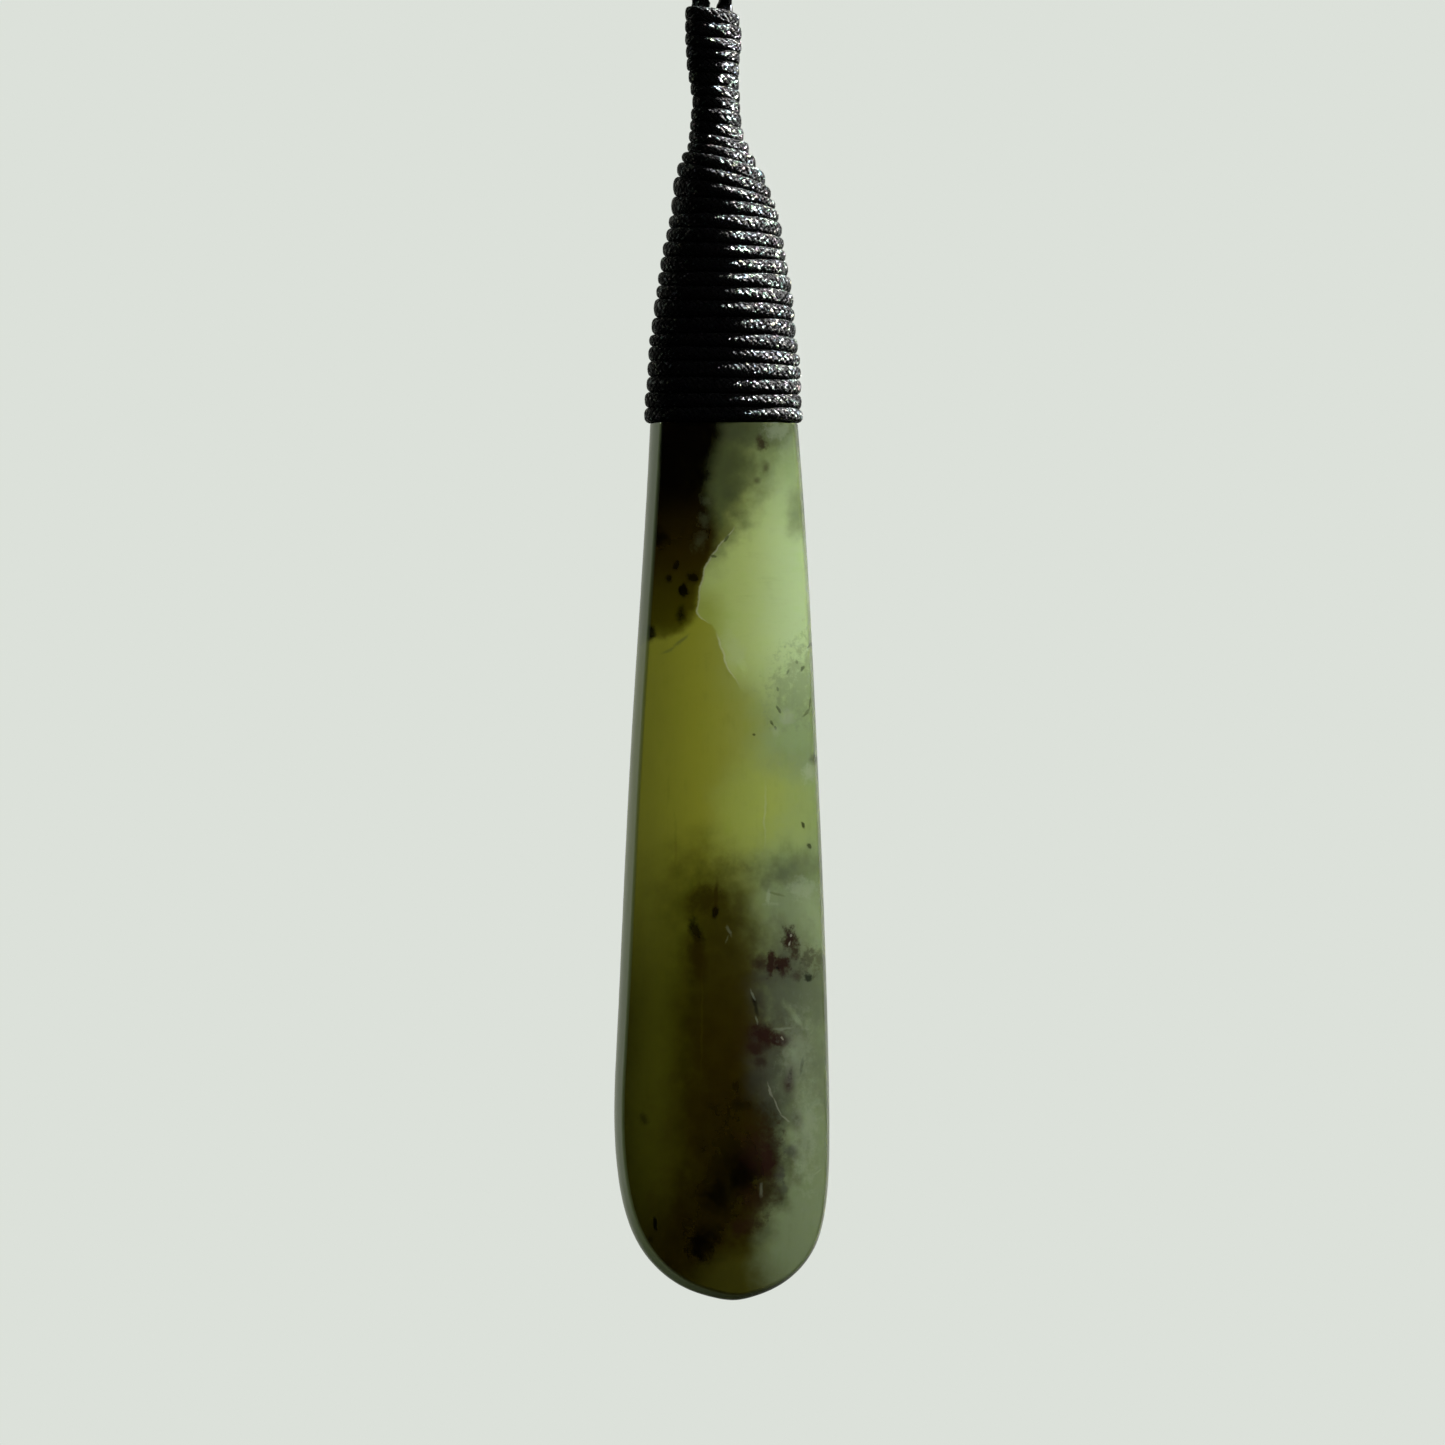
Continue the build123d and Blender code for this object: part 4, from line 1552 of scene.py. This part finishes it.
@dataclass(frozen=True)
class SoftLight:
    """A soft square light that faces the pendant.

    Azimuth and elevation are its direction in degrees, 0 in front and 90 to the right; distance and side are
    in millimetres and power is in watts. Mirrored is whether it shows in polished surfaces, and scattered
    whether it lights what lies under the polish.
    """

    name: str
    azimuth: float
    elevation: float
    distance: float
    side: float
    power: float
    mirrored: bool = True
    scattered: bool = True

    def place(self) -> None:
        """Places the light."""
        light = bpy.data.lights.new(self.name, "AREA")
        light.shape = "SQUARE"
        light.size = self.side * MM
        light.energy = self.power
        holder = bpy.data.objects.new(self.name, light)
        bpy.context.scene.collection.objects.link(holder)
        turn, lift = math.radians(self.azimuth), math.radians(self.elevation)
        away = Vector((math.sin(turn) * math.cos(lift), -math.cos(turn) * math.cos(lift), math.sin(lift)))
        holder.visible_glossy = self.mirrored
        holder.visible_diffuse = self.scattered
        holder.location = (Vector((0.0, 0.0, VIEW_MIDDLE_Z)) + away * self.distance) * MM
        holder.rotation_mode = "QUATERNION"
        holder.rotation_quaternion = away.to_track_quat("Z", "Y")


@dataclass
class Studio:
    """The camera, the soft lights and the pale sweep."""

    distance: float = 360.0
    sensor: float = 36.0
    lights: tuple = (
        SoftLight("key_light", 61.0, 36.0, 900.0, 110.0, 13.0, mirrored=False),
        SoftLight("glint_light", 93.0, 45.0, 900.0, 60.0, 150.0, scattered=False),
        SoftLight("fill_light", -44.0, 15.0, 1200.0, 700.0, 2.6, mirrored=False),
        SoftLight("floor_light", -20.0, -66.0, 1200.0, 700.0, 2.4, mirrored=False),
    )
    # The light from all round: its least, how much more there is behind, and where that begins and is full
    room_tint: Colour = (0.96, 1.0, 0.88)
    room_dim: float = 0.002
    room_glow: float = 0.44
    glow_deep: Span = (0.05, 0.85)
    glow_up: Span = (-0.50, -0.05)
    # The sweep: a round floor with a bend that leads up to its wall
    floor_z: float = -1500.0
    sweep_radius: float = 6000.0
    bend: float = 2500.0
    bend_steps: int = 12
    height: float = 5000.0
    sweep_sides: int = 96
    pale: Colour = (0.716, 0.753, 0.701)

    def place_camera(self) -> None:
        """Puts the camera at the photograph's viewpoint, level with the stone."""
        camera = bpy.data.cameras.new("camera")
        camera.sensor_width = self.sensor
        camera.lens = self.sensor * self.distance / VIEW_SIDE
        camera.clip_start = 0.01
        camera.clip_end = 30.0
        holder = bpy.data.objects.new("camera", camera)
        bpy.context.scene.collection.objects.link(holder)
        angle = math.radians(VIEW_AZIMUTH)
        back = Vector((math.sin(angle), -math.cos(angle), 0.0))
        holder.location = (Vector((VIEW_MIDDLE_X, 0.0, VIEW_MIDDLE_Z)) + back * self.distance) * MM
        holder.rotation_mode = "QUATERNION"
        holder.rotation_quaternion = (-back).to_track_quat("-Z", "Y")
        bpy.context.scene.camera = holder

    def light_world(self) -> None:
        """Lights the object from all round, brightest behind it and dim in front."""
        world = bpy.data.worlds.new("soft_room")
        world.use_nodes = True
        bpy.context.scene.world = world
        bench = NodeBench(world.node_tree)
        direction = bench.add("ShaderNodeTexCoord").outputs["Generated"]
        _, deep, up = bench.parts(direction)
        strength = self.room_dim + self.room_glow * deep.fade(*self.glow_deep) * up.fade(*self.glow_up)
        light = bench.add("ShaderNodeBackground", None, {"Color": self.room_tint, "Strength": strength})
        bench.add("ShaderNodeOutputWorld", None, {"Surface": light.outputs[0]})

    def build_sweep(self) -> None:
        """Builds the pale floor that curves up into a round wall, and keeps it out of the lighting."""
        corner = [(self.sweep_radius - self.bend + self.bend * math.sin(angle),
                   self.floor_z + self.bend - self.bend * math.cos(angle))
                  for angle in np.linspace(0.0, math.pi / 2, self.bend_steps)]
        profile = [(1.0, self.floor_z)] + corner + [(self.sweep_radius, self.floor_z + self.height)]
        turn = np.arange(self.sweep_sides) * 2 * math.pi / self.sweep_sides
        rings = np.array([[(radius * math.cos(one), radius * math.sin(one), z) for one in turn]
                          for radius, z in profile])
        uv = np.zeros((len(profile), self.sweep_sides + 1, 2))
        sweep = skin("pale_sweep", rings, uv, closed=False)
        sweep.data.materials.append(PaleSweepFinish("pale_sweep", self.pale).material())
        sweep.visible_diffuse = False
        sweep.visible_glossy = False
        sweep.visible_transmission = False
        sweep.visible_shadow = False

    def build(self) -> None:
        """Sets up the camera, the lights and the sweep."""
        self.place_camera()
        self.light_world()
        for light in self.lights:
            light.place()
        self.build_sweep()
        bpy.context.scene.view_settings.view_transform = "Standard"


def main() -> None:
    """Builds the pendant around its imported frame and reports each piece."""
    logging.basicConfig(level=logging.INFO, format="%(message)s")
    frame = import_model()
    studio = Studio()
    studio.build()
    LOG.info("studio: camera %.0f mm away", studio.distance)
    winding = Winding()
    braid = WaxedBraidFinish("waxed_cord", carriers=winding.carriers, lay=winding.lay, relief=0.21)
    for piece in winding.build(braid):
        LOG.info("%s: %d faces", piece.name, len(piece.data.polygons))
    plait = NeckCord().build(WaxedBraidFinish("waxed_strands", carriers=4, lay=0.5, relief=0.03))
    LOG.info("%s: %d faces", plait.name, len(plait.data.polygons))
    Stone().dress(frame["nodes"]["stone"])
    LOG.info("stone: dressed")


if __name__ == "__main__":
    main()
